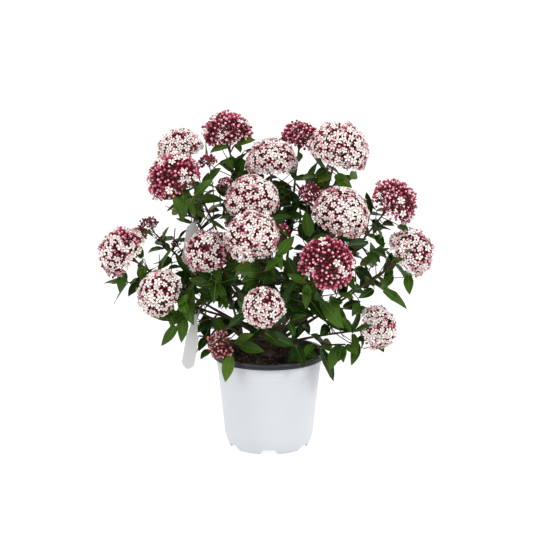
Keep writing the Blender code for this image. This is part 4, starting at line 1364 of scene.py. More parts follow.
def pot_profile(ridge):
    """The pot's section, from the middle of its floor up the inside, over the rim and down the outside."""
    floor = FLOOR_UNDERSIDE + WALL
    under = POT_HEIGHT - SKIRT_HEIGHT
    high, low = under - 0.6 * MM, SHOULDER_HEIGHT + 1.2 * MM
    inside = [
        (0.0, WALL),
        (PAD_RADIUS - MM, WALL),
        (PAD_RADIUS, WALL + 0.2 * MM),
        (PAD_RADIUS + PAD_FLARE, floor),
        (FOOT_RADIUS - WALL + 1.4 * MM, floor),
        (FOOT_RADIUS - WALL + 2.6 * MM, floor + 0.8 * MM),
        (SHOULDER_RADIUS - WALL, SHOULDER_HEIGHT),
        (wall_radius(under) - WALL, under),
    ]
    rim = from_corner(RIM_RADIUS, POT_HEIGHT, RIM_SECTION)
    rim += [(UNDER_RIM_RADIUS + 0.6 * MM, under), (UNDER_RIM_RADIUS, high)]
    heights = [high - (high - low) * i / WALL_ROWS for i in range(1, WALL_ROWS + 1)]
    outside = [(wall_radius(height) + ring_bulge(height, ridge), height) for height in heights]
    foot = from_corner(SHOULDER_RADIUS, SHOULDER_HEIGHT, SHOULDER_SECTION)
    foot += [
        (FOOT_RADIUS + 3 * MM, FLOOR_UNDERSIDE),
        (FOOT_RADIUS + 0.3 * MM, 0.6 * MM),
        (FOOT_RADIUS - 0.5 * MM, 0.0),
        (FOOT_RADIUS - 2.4 * MM, 0.0),
        (FOOT_RADIUS - 1.4 * MM, FLOOR_UNDERSIDE),
        (PAD_RADIUS + PAD_FLARE + WALL * 0.4, FLOOR_UNDERSIDE),
        (PAD_RADIUS + WALL * 0.4, 0.0),
        (0.0, 0.0),
    ]
    return inside + rim + outside + foot


def notch_mesh(angle):
    """A wedge across the foot ring, wider at the ground, with the drain hole behind it."""
    mesh = bpy.data.meshes.new("notch")
    with edited(mesh) as work:
        bmesh.ops.create_cube(work, size=1.0)
        for vert in work.verts:
            top = vert.co.z > 0
            vert.co.x = FOOT_RADIUS + vert.co.x * NOTCH_REACH
            vert.co.y *= NOTCH_TOP_WIDTH if top else NOTCH_BASE_WIDTH
            vert.co.z = NOTCH_HEIGHT if top else -NOTCH_HEIGHT
        bmesh.ops.create_cone(
            work,
            cap_ends=True,
            segments=20,
            radius1=DRAIN_RADIUS,
            radius2=DRAIN_RADIUS,
            depth=POT_HEIGHT / 4,
            matrix=Matrix.Translation((DRAIN_REACH, 0.0, 0.0)) @ Matrix.Rotation(DRAIN_TURN, 4, "Z"),
        )
        bmesh.ops.transform(work, matrix=Matrix.Rotation(angle, 4, "Z"), verts=work.verts)
    return mesh


def make_pot(settings):
    """A thin moulded pot with a turned-down rim, shallow rings and six notches in its foot."""
    pot = placed("pot body", welded(mesh_of("pot body", *lathe(pot_profile(settings.ridge), POT_STEPS))))
    angles = [-math.pi / 2 + i * 2 * math.pi / NOTCHES for i in range(NOTCHES)]
    cutters = gathered("notch", [notch_mesh(angle) for angle in angles])
    cut = pot.modifiers.new("notches", "BOOLEAN")
    cut.operation = "DIFFERENCE"
    cut.operand_type = "COLLECTION"
    cut.collection = cutters
    cut.solver = "EXACT"
    mesh = solid_copy(pot)
    discard(cutters)
    wall = plastic_finish("white moulded plastic", settings.wall, 0.36)
    lining = plastic_finish("slate moulded plastic", settings.lining, 0.42)
    piece("nursery_pot", mesh, ["pot"], [wall, lining])
    dark = []
    for face in mesh.polygons:
        middle = face.center
        reach = math.hypot(middle.x, middle.y)
        outward = (face.normal.x * middle.x + face.normal.y * middle.y) / max(reach, 1e-6)
        rim = middle.z > POT_HEIGHT - SKIRT_HEIGHT - 0.2 * MM
        inner_wall = outward < -0.3 and middle.z > FLOOR_UNDERSIDE
        floor_top = face.normal.z > 0.5 and reach < FOOT_RADIUS
        dark.append(int(rim or inner_wall or floor_top))
    mesh.polygons.foreach_set("material_index", dark)
    mesh.set_sharp_from_angle(angle=CREASE)


def soil_height(x, y, lump):
    """Height of the potting mix: a low mound at the stem, with lumps of two sizes."""
    reach = math.hypot(x, y)
    edge = wall_radius(SOIL_EDGE) - WALL
    mound = SOIL_MIDDLE + (SOIL_EDGE - SOIL_MIDDLE) * min(1.0, reach / edge)
    coarse = math.sin(x * 190 + 1.3) * math.cos(y * 170 + 0.4) + math.sin((x + y) * 310) * 0.5
    fine = math.sin(x * 900 + y * 300) * math.cos(y * 1100 - x * 250)
    calm = min(1.0, max(0.0, (edge - reach) / (6 * MM))) * min(1.0, reach / (14 * MM))
    return mound + lump * calm * (0.35 * coarse + 0.25 * fine)


def ground(reaches, steps, lump):
    """Points on the potting mix in rings about the stem."""
    flat = [place for reach in reaches for place in ring_of(reach, steps)]
    return [(x, y, soil_height(x, y, lump)) for x, y in flat]


def make_soil(settings):
    """The potting mix that fills the pot, and the chips and crumbs that lie on it."""
    floor = FLOOR_UNDERSIDE + WALL + GAP
    edge = wall_radius(SOIL_EDGE) - WALL - GAP
    steps = SOIL_STEPS
    reaches = [edge * ring / SOIL_RINGS for ring in range(1, SOIL_RINGS + 1)]
    verts = [(0.0, 0.0, SOIL_MIDDLE)] + ground(reaches, steps, settings.lump)
    lower = [
        (SHOULDER_RADIUS - WALL - GAP, SHOULDER_HEIGHT),
        (FOOT_RADIUS - WALL + 2.4 * MM - GAP, floor),
        (PAD_RADIUS + PAD_FLARE - GAP, floor),
        (PAD_RADIUS - GAP, WALL + GAP),
    ]
    for reach, height in lower:
        verts += [(x, y, height) for x, y in ring_of(reach, steps)]
    verts.append((0.0, 0.0, WALL + GAP))
    rows = SOIL_RINGS + len(lower)
    last = 1 + (rows - 1) * steps
    faces = [(0, 1 + i, 1 + (i + 1) % steps) for i in range(steps)]
    faces += bands(rows, steps, 1)
    faces += [(last + (i + 1) % steps, last + i, len(verts) - 1) for i in range(steps)]
    mesh = mesh_of("potting mix", verts, faces)
    piece("potting_mix", mesh, ["soil"], [earth_finish("damp potting mix", settings.earth)])
    scatter_chips(settings, edge)


def lump_mesh(rng, long, wide, thick, corners):
    """An irregular chip: a ring of corners with a point above and a point below."""
    ring = []
    for i in range(corners):
        angle = 2 * math.pi * i / corners + rng.uniform(-0.25, 0.25)
        reach = rng.uniform(0.7, 1.1)
        x, y = long * reach * math.cos(angle), wide * reach * math.sin(angle)
        ring.append((x, y, rng.uniform(-0.2, 0.2) * thick))
    verts = ring + [(rng.uniform(-0.2, 0.2) * long, 0.0, thick), (0.0, 0.0, -thick)]
    faces = []
    for i in range(corners):
        faces.append((i, (i + 1) % corners, corners))
        faces.append(((i + 1) % corners, i, corners + 1))
    return mesh_of("chip", verts, faces, smooth=False)


def scatter_chips(settings, edge):
    """Bark chips, dark crumbs and pale fibres over the mix, clear of the stem and the pot's wall."""
    reaches = [CHIP_ROOM + (edge - 22 * MM) * ring / CHIP_RINGS for ring in range(CHIP_RINGS + 1)]
    verts = ground(reaches, CHIP_STEPS, settings.lump)
    bed = mesh_of("bed", verts, bands(len(reaches), CHIP_STEPS))
    rng = random.Random(SEED)
    chips = [lump_mesh(rng, 4.2 * MM, 2.1 * MM, 0.9 * MM, 7) for _ in range(5)]
    crumbs = [lump_mesh(rng, 1.5 * MM, 1.3 * MM, 0.9 * MM, 5) for _ in range(4)]
    fibres = [lump_mesh(rng, 4.5 * MM, 0.7 * MM, 0.5 * MM, 5) for _ in range(3)]
    bark = chip_finish("shredded bark", settings.chip)
    dark = earth_finish("crumbs of the mix", tinted(settings.earth, 1.5))
    pale = chip_finish("pale fibre", tinted(settings.chip, 2.2))
    kinds = (
        ("bark_chips", chips, bark, 1.0, 0.45, 1.15),
        ("mix_crumbs", crumbs, dark, 5.0, 0.5, 1.5),
        ("pale_fibres", fibres, pale, 0.35, 0.4, 1.0),
    )
    for number, (name, meshes, finish, share, least, most) in enumerate(kinds):
        values = {"Density": settings.chips * 100.0 * share, "Smallest": least, "Largest": most}
        values.update({"Seed": SEED + number, "Finish": finish})
        piece(name, with_patterns(bed.copy(), scatter_tree(), meshes, values), ["soil"])


# Branches


def stem_limb():
    """The main stem's line and radii, from below the surface of the mix."""
    shares = [i / STEM_ROWS for i in range(STEM_ROWS + 1)]
    middles = [stem_middle(share) - UP * (STEM_SUNK if share == 0 else 0.0) for share in shares]
    return middles, [stem_radius(share) * (1.0 + 0.05 * math.sin(share * 23)) for share in shares]


def bough_limb(name, line):
    """A bough's line and radii, from inside the main stem, with a collar at its foot."""
    root = stem_middle(BOUGHS[name][1])
    whole = [root.lerp(line[0], part) for part in (0.25, 0.6)]
    whole += part_of(line, 0.0, BOUGH_SHARE, BOUGH_ROWS)
    radii = []
    for i in range(len(whole)):
        along = max(0.0, (i - 2) / (len(whole) - 3))
        collar = COLLAR * math.exp(-along * 16)
        radii.append(BOUGH_FOOT_RADIUS + (BOUGH_TIP_RADIUS - BOUGH_FOOT_RADIUS) * along + collar)
    return whole, radii


def shoot_limb(grown, shoot):
    """A shoot's line and radii, with low swellings along it. A side branch's foot is sunk in its bough."""
    spread = TWIG_TIP_RADIUS - TWIG_FOOT_RADIUS
    radii = []
    for i in range(SHOOT_ROWS):
        swelling = 0.3 * MM * max(0.0, math.cos(i * 1.26)) ** 6
        radii.append(TWIG_FOOT_RADIUS + spread * i / (SHOOT_ROWS - 1) + swelling)
    bough, share = HEADS[shoot.name][2:4] if shoot.name in HEADS else LEAFY[shoot.name][1:]
    line = rounded(shoot.line, SHOOT_ROWS)
    if share is None:
        return line, radii
    root, _ = way_along(grown.boughs[bough], share * BOUGH_SHARE)
    return [root.lerp(shoot.line[0], 0.35)] + line, [TWIG_FOOT_RADIUS * 1.25] + radii


def make_branches(settings):
    """Main stem, boughs and shoots with bark relief, and the finer twigs, which are younger and redder."""
    grown = plant()
    wood, young = Limbs(), Limbs()
    wood.add(*stem_limb())
    for name, line in grown.boughs.items():
        wood.add(*bough_limb(name, line))
    for shoot in grown.shoots.values():
        wood.add(*shoot_limb(grown, shoot))
        for line in grown.bearing[shoot.name]:
            young.add(rounded(line, 10), [SIDE_TWIG_RADIUS * (1.0 - 0.03 * i) for i in range(10)])
    for spray in grown.sprays:
        if spray.twig:
            foot = SIDE_TWIG_RADIUS * (0.7 if spray.fine or len(spray.leaves) == 1 else 0.95)
            young.add(rounded(spray.twig, 9), [foot * (1.0 - 0.035 * i) for i in range(9)])
    bark = bark_finish("brown bark", settings.bark, (0.2, 0.15, 0.11))
    green = bark_finish("young bark", settings.young, tinted(settings.young, 1.8))
    nodes = ["main_stem"] + list(BOUGHS) + leafy_nodes()
    piece("branches", wood.grown(10, settings.relief, bark), nodes)
    piece("young_twigs", young.grown(6, 0.15 * MM, green), leafy_nodes())


# Leaves


LEAF_ROWS = (0.07, 0.16, 0.28, 0.42, 0.56, 0.7, 0.83, 0.93, 1.0)
ACROSS = (-1.0, -0.5, 0.0, 0.5, 1.0)


def blade_mesh(droop, width, twist):
    """A leaf one unit long: a folded blade, quilted between its side veins, with a drawn-out tip."""
    verts = []
    for row, s in enumerate(LEAF_ROWS):
        for side in ACROSS:
            point = leaf_shape(s, side, 1.0, droop, width)
            if abs(side) == 0.5:
                point.z += 0.006 * (1 if row % 2 else -1) * math.sin(math.pi * s)
            point.z += 0.012 * math.sin(row * 2.1 + side * 1.5) * abs(side) * math.sin(math.pi * s)
            verts.append(Matrix.Rotation(twist * s, 3, "X") @ point)
    faces = []
    wide = len(ACROSS)
    for row in range(len(LEAF_ROWS) - 2):
        for i in range(wide - 1):
            here = row * wide + i
            faces.append((here, here + wide, here + wide + 1, here + 1))
    last = (len(LEAF_ROWS) - 2) * wide
    tip = last + wide + 2
    for i in range(wide - 1):
        faces.append((last + i, tip, last + i + 1))
    mesh = mesh_of("blade", verts, [face[::-1] for face in faces])
    with edited(mesh) as work:
        unused = [vert for vert in work.verts if not vert.link_faces]
        bmesh.ops.delete(work, geom=unused, context="VERTS")
    return mesh


def rib_mesh(droop, width, twist):
    """The stalk and midrib of the same leaf: a tapering three-sided rod that shows on both faces."""
    verts = []
    rows = (0.0, 0.07, 0.2, 0.4, 0.6, 0.8, 0.96)
    radii = (0.021, 0.019, 0.014, 0.011, 0.009, 0.007, 0.003)
    for s, radius in zip(rows, radii):
        middle = Matrix.Rotation(twist * s, 3, "X") @ leaf_shape(s, 0.0, 1.0, droop, width)
        middle.z += radius * 0.5
        for angle in (math.pi / 2, math.pi * 7 / 6, math.pi * 11 / 6):
            verts.append(middle + Vector((0.0, radius * math.cos(angle), radius * math.sin(angle))))
    last = (len(rows) - 1) * 3
    sides = [(a, d, c, b) for a, b, c, d in bands(len(rows), 3)]
    return mesh_of("rib", verts, [(0, 2, 1)] + sides + [(last, last + 1, last + 2)])


def leaf_kinds():
    """Droop, width and twist of each leaf pattern. The last two are the narrow young leaves."""
    forms = ((0.92, 0.25), (0.82, -0.3))
    kinds = [(droop, LEAF_WIDTH * wide, twist) for droop in DROOPS for wide, twist in forms]
    return kinds + [(0.2, LEAF_WIDTH * 0.74, 0.2), (0.4, LEAF_WIDTH * 0.7, -0.25)]


def make_leaves(settings):
    """Leaves in three tones, dealt out by spray, and the midribs of all of them."""
    kinds = leaf_kinds()
    blades = [Stand(), Stand(), Stand()]
    ribs = Stand()
    rng = random.Random(SEED)
    for spray in plant().sprays:
        for leaf in spray.leaves:
            nearest = min(range(len(DROOPS)), key=lambda i: abs(DROOPS[i] - leaf.droop))
            kind = nearest * 2 + rng.randrange(2)
            if spray.tone == 2 and len(spray.leaves) > 1 and rng.random() < 0.7:
                kind = len(kinds) - 1 - rng.randrange(2)
            for stand in (blades[spray.tone], ribs):
                stand.add(leaf.root, leaf.frame, leaf.length, kind)
    for name, stand in zip(("dark", "middle", "fresh"), blades):
        finish = leaf_finish("leaves_" + name, getattr(settings, name))
        mesh = stand.grown([blade_mesh(*kind) for kind in kinds], finish)
        piece("crown_leaves_" + name, mesh, leafy_nodes())
    rib = leaf_finish("midribs", settings.rib)
    piece("leaf_ribs", ribs.grown([rib_mesh(*kind) for kind in kinds], rib), leafy_nodes())


# Flower heads


def spun(profile, sides=5):
    """Vertices and faces of a small body turned about Z, in mm. A radius of 0 makes a pole."""
    verts, rows = [], []
    for radius, height in profile:
        if radius == 0.0:
            rows.append([len(verts)] * sides)
            verts.append((0.0, 0.0, height * MM))
            continue
        rows.append(list(range(len(verts), len(verts) + sides)))
        verts += [(x, y, height * MM) for x, y in ring_of(radius * MM, sides)]
    faces = []
    for low, high in zip(rows, rows[1:]):
        for i in range(sides):
            following = (i + 1) % sides
            faces.append(tuple(dict.fromkeys((low[i], low[following], high[following], high[i]))))
    return verts, faces


def bud_mesh():
    return mesh_of("bud", *spun(((0.0, 0.0), (1.5, 0.8), (2.5, 2.6), (1.9, 4.3), (0.0, 5.2))))


def inner_bud_mesh():
    return mesh_of("inner bud", *spun(((0.0, 0.0), (2.2, 2.2), (0.0, 4.4)), 4))


# Pale caps on the outer ends of buds: partly the paler tips of buds near opening, partly a painted highlight
def bud_tip_mesh():
    return mesh_of("bud tip", *spun(((1.62, 4.52), (0.0, 5.36))))


def petals_mesh(reach, rise, seed):
    """Five rounded petals that spread from the tube's mouth, in one flat flower."""
    rng = random.Random(seed)
    verts, faces = [], []
    rows = ((0.2, 0.09, 0.0), (0.45, 0.25, 0.7), (0.72, 0.3, 0.9), (0.93, 0.2, 0.75), (1.0, 0.07, 0.6))
    for petal in range(5):
        angle = 2 * math.pi * petal / 5 + rng.uniform(-0.08, 0.08)
        turn = Matrix.Rotation(angle, 3, "Z")
        lift = rise + rng.uniform(-0.25, 0.25)
        first = len(verts)
        for out, half, up in rows:
            for side in (-1, 1):
                point = Vector((out * reach, side * half * reach, up * lift + 0.1 * half * reach)) * MM
                verts.append(turn @ point)
        for row in range(len(rows) - 1):
            here = first + row * 2
            faces.append((here, here + 2, here + 3, here + 1))
    return mesh_of("petals", verts, faces)


def tube_mesh():
    return mesh_of("tube", *spun(((0.0, -3.2), (0.75, -2.6), (0.85, -1.2), (1.45, 0.12), (0.55, -0.35))))


def stamens_mesh():
    """A cream throat and five anthers that stand out of it."""
    verts, faces = spun(((0.95, 0.02), (0.0, 0.45)))
    for i in range(5):
        angle = 2 * math.pi * (i + 0.5) / 5
        middle = Vector((math.cos(angle) * 1.55, math.sin(angle) * 1.55, 1.5)) * MM
        first = len(verts)
        corners = ((0.42, 0, 0), (-0.25, 0.4, 0), (-0.25, -0.4, 0), (0, 0, 0.6), (0, 0, -0.9))
        verts += [middle + Vector(corner) * MM for corner in corners]
        for a, b in ((0, 1), (1, 2), (2, 0)):
            faces.append((first + a, first + b, first + 3))
            faces.append((first + b, first + a, first + 4))
    return mesh_of("stamens", verts, faces, smooth=False)


def dome_ways(count, edge, rng, jitter):
    """Directions spread evenly over a dome about +Z."""
    golden = math.pi * (3 - math.sqrt(5))
    ways = []
    for i in range(count):
        up = 1 - (i + 0.5) / count * (1 - math.cos(edge))
        out = math.sqrt(max(0.0, 1 - up * up))
        angle = i * golden
        way = Vector((out * math.cos(angle), out * math.sin(angle), up))
        way += Vector((rng.gauss(0, jitter), rng.gauss(0, jitter), rng.gauss(0, jitter)))
        ways.append(way.normalized())
    return ways


def room_to(points, way):
    """How far a place is from the nearest point."""
    return np.linalg.norm(points - np.array(way), axis=1).min()


def apart(places, pitch):
    """Of the places in turn, those that keep the pitch from all that were kept before."""
    kept = np.zeros((0, 3))
    for way in places:
        if not len(kept) or room_to(kept, way) >= pitch:
            kept = np.vstack([kept, np.array(way)])
    return kept.tolist()


class HeadPlan:
    """Where the florets, buds and stalks of one flower head go, in its own frame with +Z along its axis."""

    def __init__(self, head, settings):
        self.head = head
        self.rng = random.Random(head.name)
        self.turn = head.way.to_track_quat("Z", "Y").to_matrix()
        radius = head.radius
        area = 2 * math.pi * radius**2 * (1 - math.cos(DOME_EDGE))
        self.hubs = dome_ways(max(5, int(area / CLUSTER_AREA)), DOME_EDGE * 0.94, self.rng, 0.1)
        self.hubs = [way for way in self.hubs if way.z > 0.25 or self.rng.random() > 0.2]
        self.hub_array = np.array(self.hubs)
        self.rays = dome_ways(RAYS, DOME_EDGE * 0.6, self.rng, 0.08)
        places = dome_ways(int(area / PLACE_AREA), DOME_EDGE, self.rng, 0.02)
        places = [way for way in places if way.dot(self.hubs[self.hub_of(way)]) > HUB_REACH]
        self.rng.shuffle(places)
        self.bud_size, self.swell = (0.82, 1.12) if radius < SMALL_HEAD else (1.0, 1.0)
        share, _, self.spread, missing = head.opened
        self.florets = self.spaced(places, settings.floret_pitch / radius, share)
        pitch = settings.bud_pitch * self.bud_size / radius
        self.buds = self.between(places, settings.floret_pitch * FLORET_ROOM / radius, pitch)
        self.buds = [way for way in self.buds if self.rng.random() >= missing]
        inner = int(area / INNER_BUD_AREA * (1.0 - 2 * missing))
        self.inner = dome_ways(inner, DOME_EDGE * 0.95, self.rng, 0.06)

    def spaced(self, places, pitch, share):
        """Places for florets, no closer than the pitch. Some clusters open before the others."""
        kept = apart(places, pitch)
        ahead = [self.rng.random() for _ in self.hubs]
        order = sorted(kept, key=lambda way: ahead[self.hub_of(way)] + self.rng.gauss(0.0, CLUSTER_STRAY))
        return [Vector(way) for way in order[: int(round(len(order) * share))]]

    def between(self, places, floret_room, pitch):
        """Places for buds, clear of the open florets and no closer than the pitch."""
        taken = np.array(self.florets).reshape(-1, 3)
        if len(taken):
            places = [way for way in places if room_to(taken, way) >= floret_room]
        return [Vector(way) for way in apart(places, pitch)]

    def hub_of(self, way):
        return int(np.argmax(self.hub_array @ np.array(way)))

    def lump(self, way, hub):
        """Each cluster swells a little out of the dome."""
        height = 1.02 + 0.14 * max(0.0, self.spread - 0.8)
        return self.swell * (height - self.spread * (1.0 - way.dot(self.hubs[hub])))

    def world(self, point):
        return self.head.middle + self.turn @ point

    def hub_point(self, hub):
        return self.hubs[hub] * self.head.radius * 0.6 + Vector((0.0, 0.0, -0.08 * self.head.radius))

    def axis(self, way, hub, loose):
        wander = Vector([self.rng.gauss(0, loose) for _ in range(3)])
        return (way + (way - self.hubs[hub]) * 1.3 + wander).normalized()


def turn_about(way, spin):
    """The turn that carries +Z to way, after a spin about it."""
    return (way.to_track_quat("Z", "Y") @ Quaternion((0.0, 0.0, 1.0), spin)).to_matrix()


class Blossom:
    """Stands for every part of the flower heads."""

    def __init__(self):
        self.petals = Stand()
        self.tubes = Stand()
        self.stamens = Stand()
        self.buds = [Stand(), Stand(), Stand(), Stand()]
        self.tips = Stand()
        self.inner = Stand()
        self.stalks = Limbs()

    def fill(self, head, settings):
        plan = HeadPlan(head, settings)
        rng = plan.rng
        radius = head.radius
        for way in plan.florets:
            hub = plan.hub_of(way)
            reach = radius * plan.lump(way, hub) * rng.uniform(0.92, 1.01)
            axis = plan.turn @ plan.axis(way, hub, 0.2)
            place = plan.world(way * (reach - 0.9 * MM))
            turn = turn_about(axis, rng.uniform(0, 6.28))
            scale = rng.uniform(0.84, 1.1)
            self.petals.add(place, turn, scale, rng.randrange(4))
            self.tubes.add(place, turn, scale)
            self.stamens.add(place, turn, scale)
            self.stalk(plan, hub, place - axis * 3.1 * MM * scale)
        tones = head.opened[1]
        for way in plan.buds:
            hub = plan.hub_of(way)
            tone = rng.choices(range(4), tones)[0]
            young = tone in (2, 3)
            scale = plan.bud_size * rng.uniform(0.8, 1.08) * (0.85 if young else 1.0)
            low = 0.9 if head.opened[3] == 0.0 else 0.72
            reach = radius * plan.lump(way, hub) * rng.uniform(low, 1.03) - 5.2 * MM * scale
            axis = plan.turn @ plan.axis(way, hub, 0.1)
            place = plan.world(way * reach)
            turn = turn_about(axis, rng.uniform(0, 6.28))
            self.buds[tone].add(place, turn, scale)
            # Pale caps on most rose and pink buds: partly their own paler tips, partly a painted highlight
            if not young and rng.random() < 0.75:
                self.tips.add(place, turn, scale)
            self.stalk(plan, hub, place)
        # Inner buds: partly real buds deep in the dome, partly painted shade, a dark layer that fills the
        # gaps
        for way in plan.inner:
            reach = radius * rng.uniform(0.66, 0.8)
            turn = turn_about(plan.turn @ way, rng.uniform(0, 6.28))
            self.inner.add(plan.world(way * reach), turn, plan.bud_size * rng.uniform(0.8, 1.2))
        self.rays(plan)

    def stalk(self, plan, hub, end):
        foot = plan.world(plan.hub_point(hub))
        self.stalks.add([foot, end], [0.5 * MM, 0.34 * MM])

    def rays(self, plan):
        """From the top of the shoot to each ray, and from the nearest ray to each cluster."""
        head = plan.head
        low = Vector((0, 0, 0.2 * head.radius))
        crowns = [plan.world(way * head.radius * 0.3 - low) for way in plan.rays]
        thick = 0.95 * MM if head.radius > 20 * MM else 0.6 * MM
        for crown in crowns:
            line = curve_between(head.foot, head.way, crown, crown - head.foot, 4)
            self.stalks.add(line, [thick * part for part in (1.25, 1.1, 1.0, 1.0)])
        for hub, way in enumerate(plan.hubs):
            end = plan.world(plan.hub_point(hub))
            start = min(crowns, key=lambda crown: (crown - end).length)
            line = curve_between(start, end - start, end, plan.turn @ way, 4)
            self.stalks.add(line, [thick * part for part in (1.0, 0.8, 0.7, 0.65)])


def make_blossom(settings):
    """Florets, buds and stalks of every flower head, in pieces of one colour each."""
    blossom = Blossom()
    for head in plant().heads():
        blossom.fill(head, settings)
    white = petal_finish("white petal", settings.petal, tinted(settings.petal, 0.97))
    blush = petal_finish("flushed tube", settings.blush, settings.petal)
    centre = petal_finish("stamens", settings.centre, settings.petal, 0.6)
    stalk = petal_finish("flower stalk", settings.stalk, tinted(settings.stalk, 1.6), 0.55)
    # Bud caps in pale pink that flushes to petal white: partly the buds' paler tips, partly a painted
    # highlight
    tip = petal_finish("bud tip", tinted(settings.pink, 1.45), tinted(settings.petal, 0.95), 0.35)
    # Inner buds are the crimson darkened further: painted shade inside the flower heads
    shade = petal_finish("inner bud", tinted(settings.crimson, 0.6), settings.crimson, 0.5)
    petals = [petals_mesh(*kind) for kind in ((5.7, 1.0, 1), (5.9, 0.5, 2), (5.5, 1.5, 3), (5.2, 2.1, 4))]
    kinds = [
        ("floret_petals", blossom.petals, petals, white),
        ("floret_tubes", blossom.tubes, [tube_mesh()], blush),
        ("floret_stamens", blossom.stamens, [stamens_mesh()], centre),
        ("bud_tips", blossom.tips, [bud_tip_mesh()], tip),
        ("buds_inner", blossom.inner, [inner_bud_mesh()], shade),
    ]
    for name, stand in zip(("rose", "pink", "crimson", "salmon"), blossom.buds):
        tone = getattr(settings, name)
        finish = petal_finish(name + " bud", tinted(tone, 0.85), tinted(tone, 1.25), 0.32)
        kinds.append(("buds_" + name, stand, [bud_mesh()], finish))
    nodes = [name for name in NODES if name.startswith("head_")]
    for name, stand, meshes, finish in kinds:
        piece(name, stand.grown(meshes, finish), nodes)
    piece("flower_stalks", blossom.stalks.grown(3, 0.0, stalk), nodes)


# Tags


def tag_outline(half_width, half_length, neck):
    """The plate's outline: a neck that hangs from the loop, rounded shoulders and a blunt foot."""
    corner = 2.5 * MM
    shoulder = half_length - neck - corner
    foot = -half_length - neck * 0.8
    points = []
    for side, start in ((1, 0.0), (-1, 90.0)):
        for i in range(5):
            angle = math.radians(start + 22.5 * i)
            across = side * (half_width - corner) + corner * math.cos(angle)
            points.append((across, shoulder - corner + corner * math.sin(angle)))
        if side == 1:
            points += [(3 * MM, shoulder), (2.5 * MM, half_length)]
            points += [(-2.5 * MM, half_length), (-3 * MM, shoulder)]
    steps = ((-1.0, 9), (-0.82, 5), (-0.2, 0.3), (0.2, 0.3), (0.82, 5), (1.0, 9))
    return points + [(half_width * share, foot + up * MM) for share, up in steps]


def plate_mesh(tag):
    """The tag's plate, a little curved, swung out from its loop."""
    flat = bpy.data.meshes.new("plate")
    with edited(flat) as work:
        outline = tag_outline(tag.half.x, tag.half.z, tag.neck)
        work.faces.new([work.verts.new((x, 0.0, z)) for x, z in outline])
        bmesh.ops.triangulate(work, faces=work.faces, quad_method="BEAUTY", ngon_method="BEAUTY")
        bmesh.ops.subdivide_edges(work, edges=work.edges, cuts=3, use_grid_fill=True)
        for vert in work.verts:
            vert.co.y = 0.6 * MM * math.cos(vert.co.z / tag.half.z * 1.5) - 0.4 * MM
    obj = placed("plate", flat)
    thick = obj.modifiers.new("thickness", "SOLIDIFY")
    thick.thickness = TAG_THICKNESS
    thick.offset = 0.0
    mesh = solid_copy(obj)
    hang = Vector((0.0, 0.0, tag.half.z - 2 * MM))
    swing = Matrix.Rotation(TAG_SWING, 4, "Y") @ tag.frame.to_4x4()
    mesh.transform(Matrix.Translation(tag.middle + hang) @ swing @ Matrix.Translation(-hang))
    return mesh


def loop_mesh(tag):
    """The loop that the tag hangs by, round its twig."""
    level = tag.way.cross(UP).normalized()
    upper = level.cross(tag.way)
    around, section = 40, 8
    verts, faces = [], []
    for i in range(around):
        angle = 2 * math.pi * i / around
        out = level * math.cos(angle) + upper * math.sin(angle)
        here, there = i * section, (i + 1) % around * section
        for j in range(section):
            turn = 2 * math.pi * j / section
            offset = out * math.cos(turn) + tag.way * math.sin(turn)
            verts.append(tag.loop + out * TAG_LOOP + offset * TAG_WIRE)
            following = (j + 1) % section
            faces.append((here + j, there + j, there + following, here + following))
    return mesh_of("loop", verts, faces)


def make_tags(settings):
    """Two blank tags, each a thin plate that hangs on a loop."""
    finish = plastic_finish("tag plastic", settings.face, 0.42)
    for tag in plant().tags:
        mesh = plate_mesh(tag)
        with edited(mesh) as work:
            work.from_mesh(loop_mesh(tag))
            bmesh.ops.recalc_face_normals(work, faces=work.faces)
        piece(tag.name + "_blank", mesh, [tag.name], [finish])


# Stage


def make_stage(settings):
    """A plain pale floor, soft light and the camera."""
    corners = [(x * FLOOR_REACH, y * FLOOR_REACH, 0) for x, y in ((-1, -1), (1, -1), (1, 1), (-1, 1))]
    floor = mesh_of("floor", corners, [(0, 1, 2, 3)])
    glow = tuple([settings.glow] * 3 + [1.0])
    finish = Finish("studio floor", Specular_IOR_Level=0.2, Emission_Color=glow, Emission_Strength=1.0)
    cloud = finish.noise(1.5)
    tone = finish.mix(cloud, tinted(settings.floor, 0.995), settings.floor)
    floor.materials.append(finish.paint(tone, 0.8 + 0.1 * cloud))
    placed("studio_floor", floor)
    world = bpy.data.worlds.new("studio")
    bpy.context.scene.world = world
    world.use_nodes = True
    sky = world.node_tree.nodes["Background"]
    sky.inputs["Color"].default_value = (1.0, 1.0, 1.0, 1.0)
    sky.inputs["Strength"].default_value = settings.light
    for name, place, wide, share in LAMPS:
        lamp = bpy.data.lights.new(name, "AREA")
        lamp.shape = "DISK"
        lamp.size = wide
        lamp.energy = settings.key * share
        aim_at(placed(name, lamp), Vector(place), LIT_PLACE)
    bpy.context.scene.view_settings.view_transform = "Standard"
    camera = bpy.data.cameras.new("camera")
    camera.lens = LENS
    camera.sensor_width = 36.0
    bpy.context.scene.camera = aim_at(placed("camera", camera), EYE, AIM)


def aim_at(obj, place, target):
    obj.location = place
    obj.rotation_euler = (target - place).to_track_quat("-Z", "Y").to_euler()
    return obj


# Add-on


class VIBURNUM_OT_stage(bpy.types.Operator):
    """Makes the floor, the lights and the camera"""

    bl_idname = "viburnum.stage"
    bl_label = "Stage"

    def execute(self, context):
        make_stage(context.scene.viburnum_stage)
        return {"FINISHED"}


class VIBURNUM_OT_pot(bpy.types.Operator):
    """Makes the nursery pot"""

    bl_idname = "viburnum.pot"
    bl_label = "Pot"

    def execute(self, context):
        make_pot(context.scene.viburnum_pot)
        return {"FINISHED"}


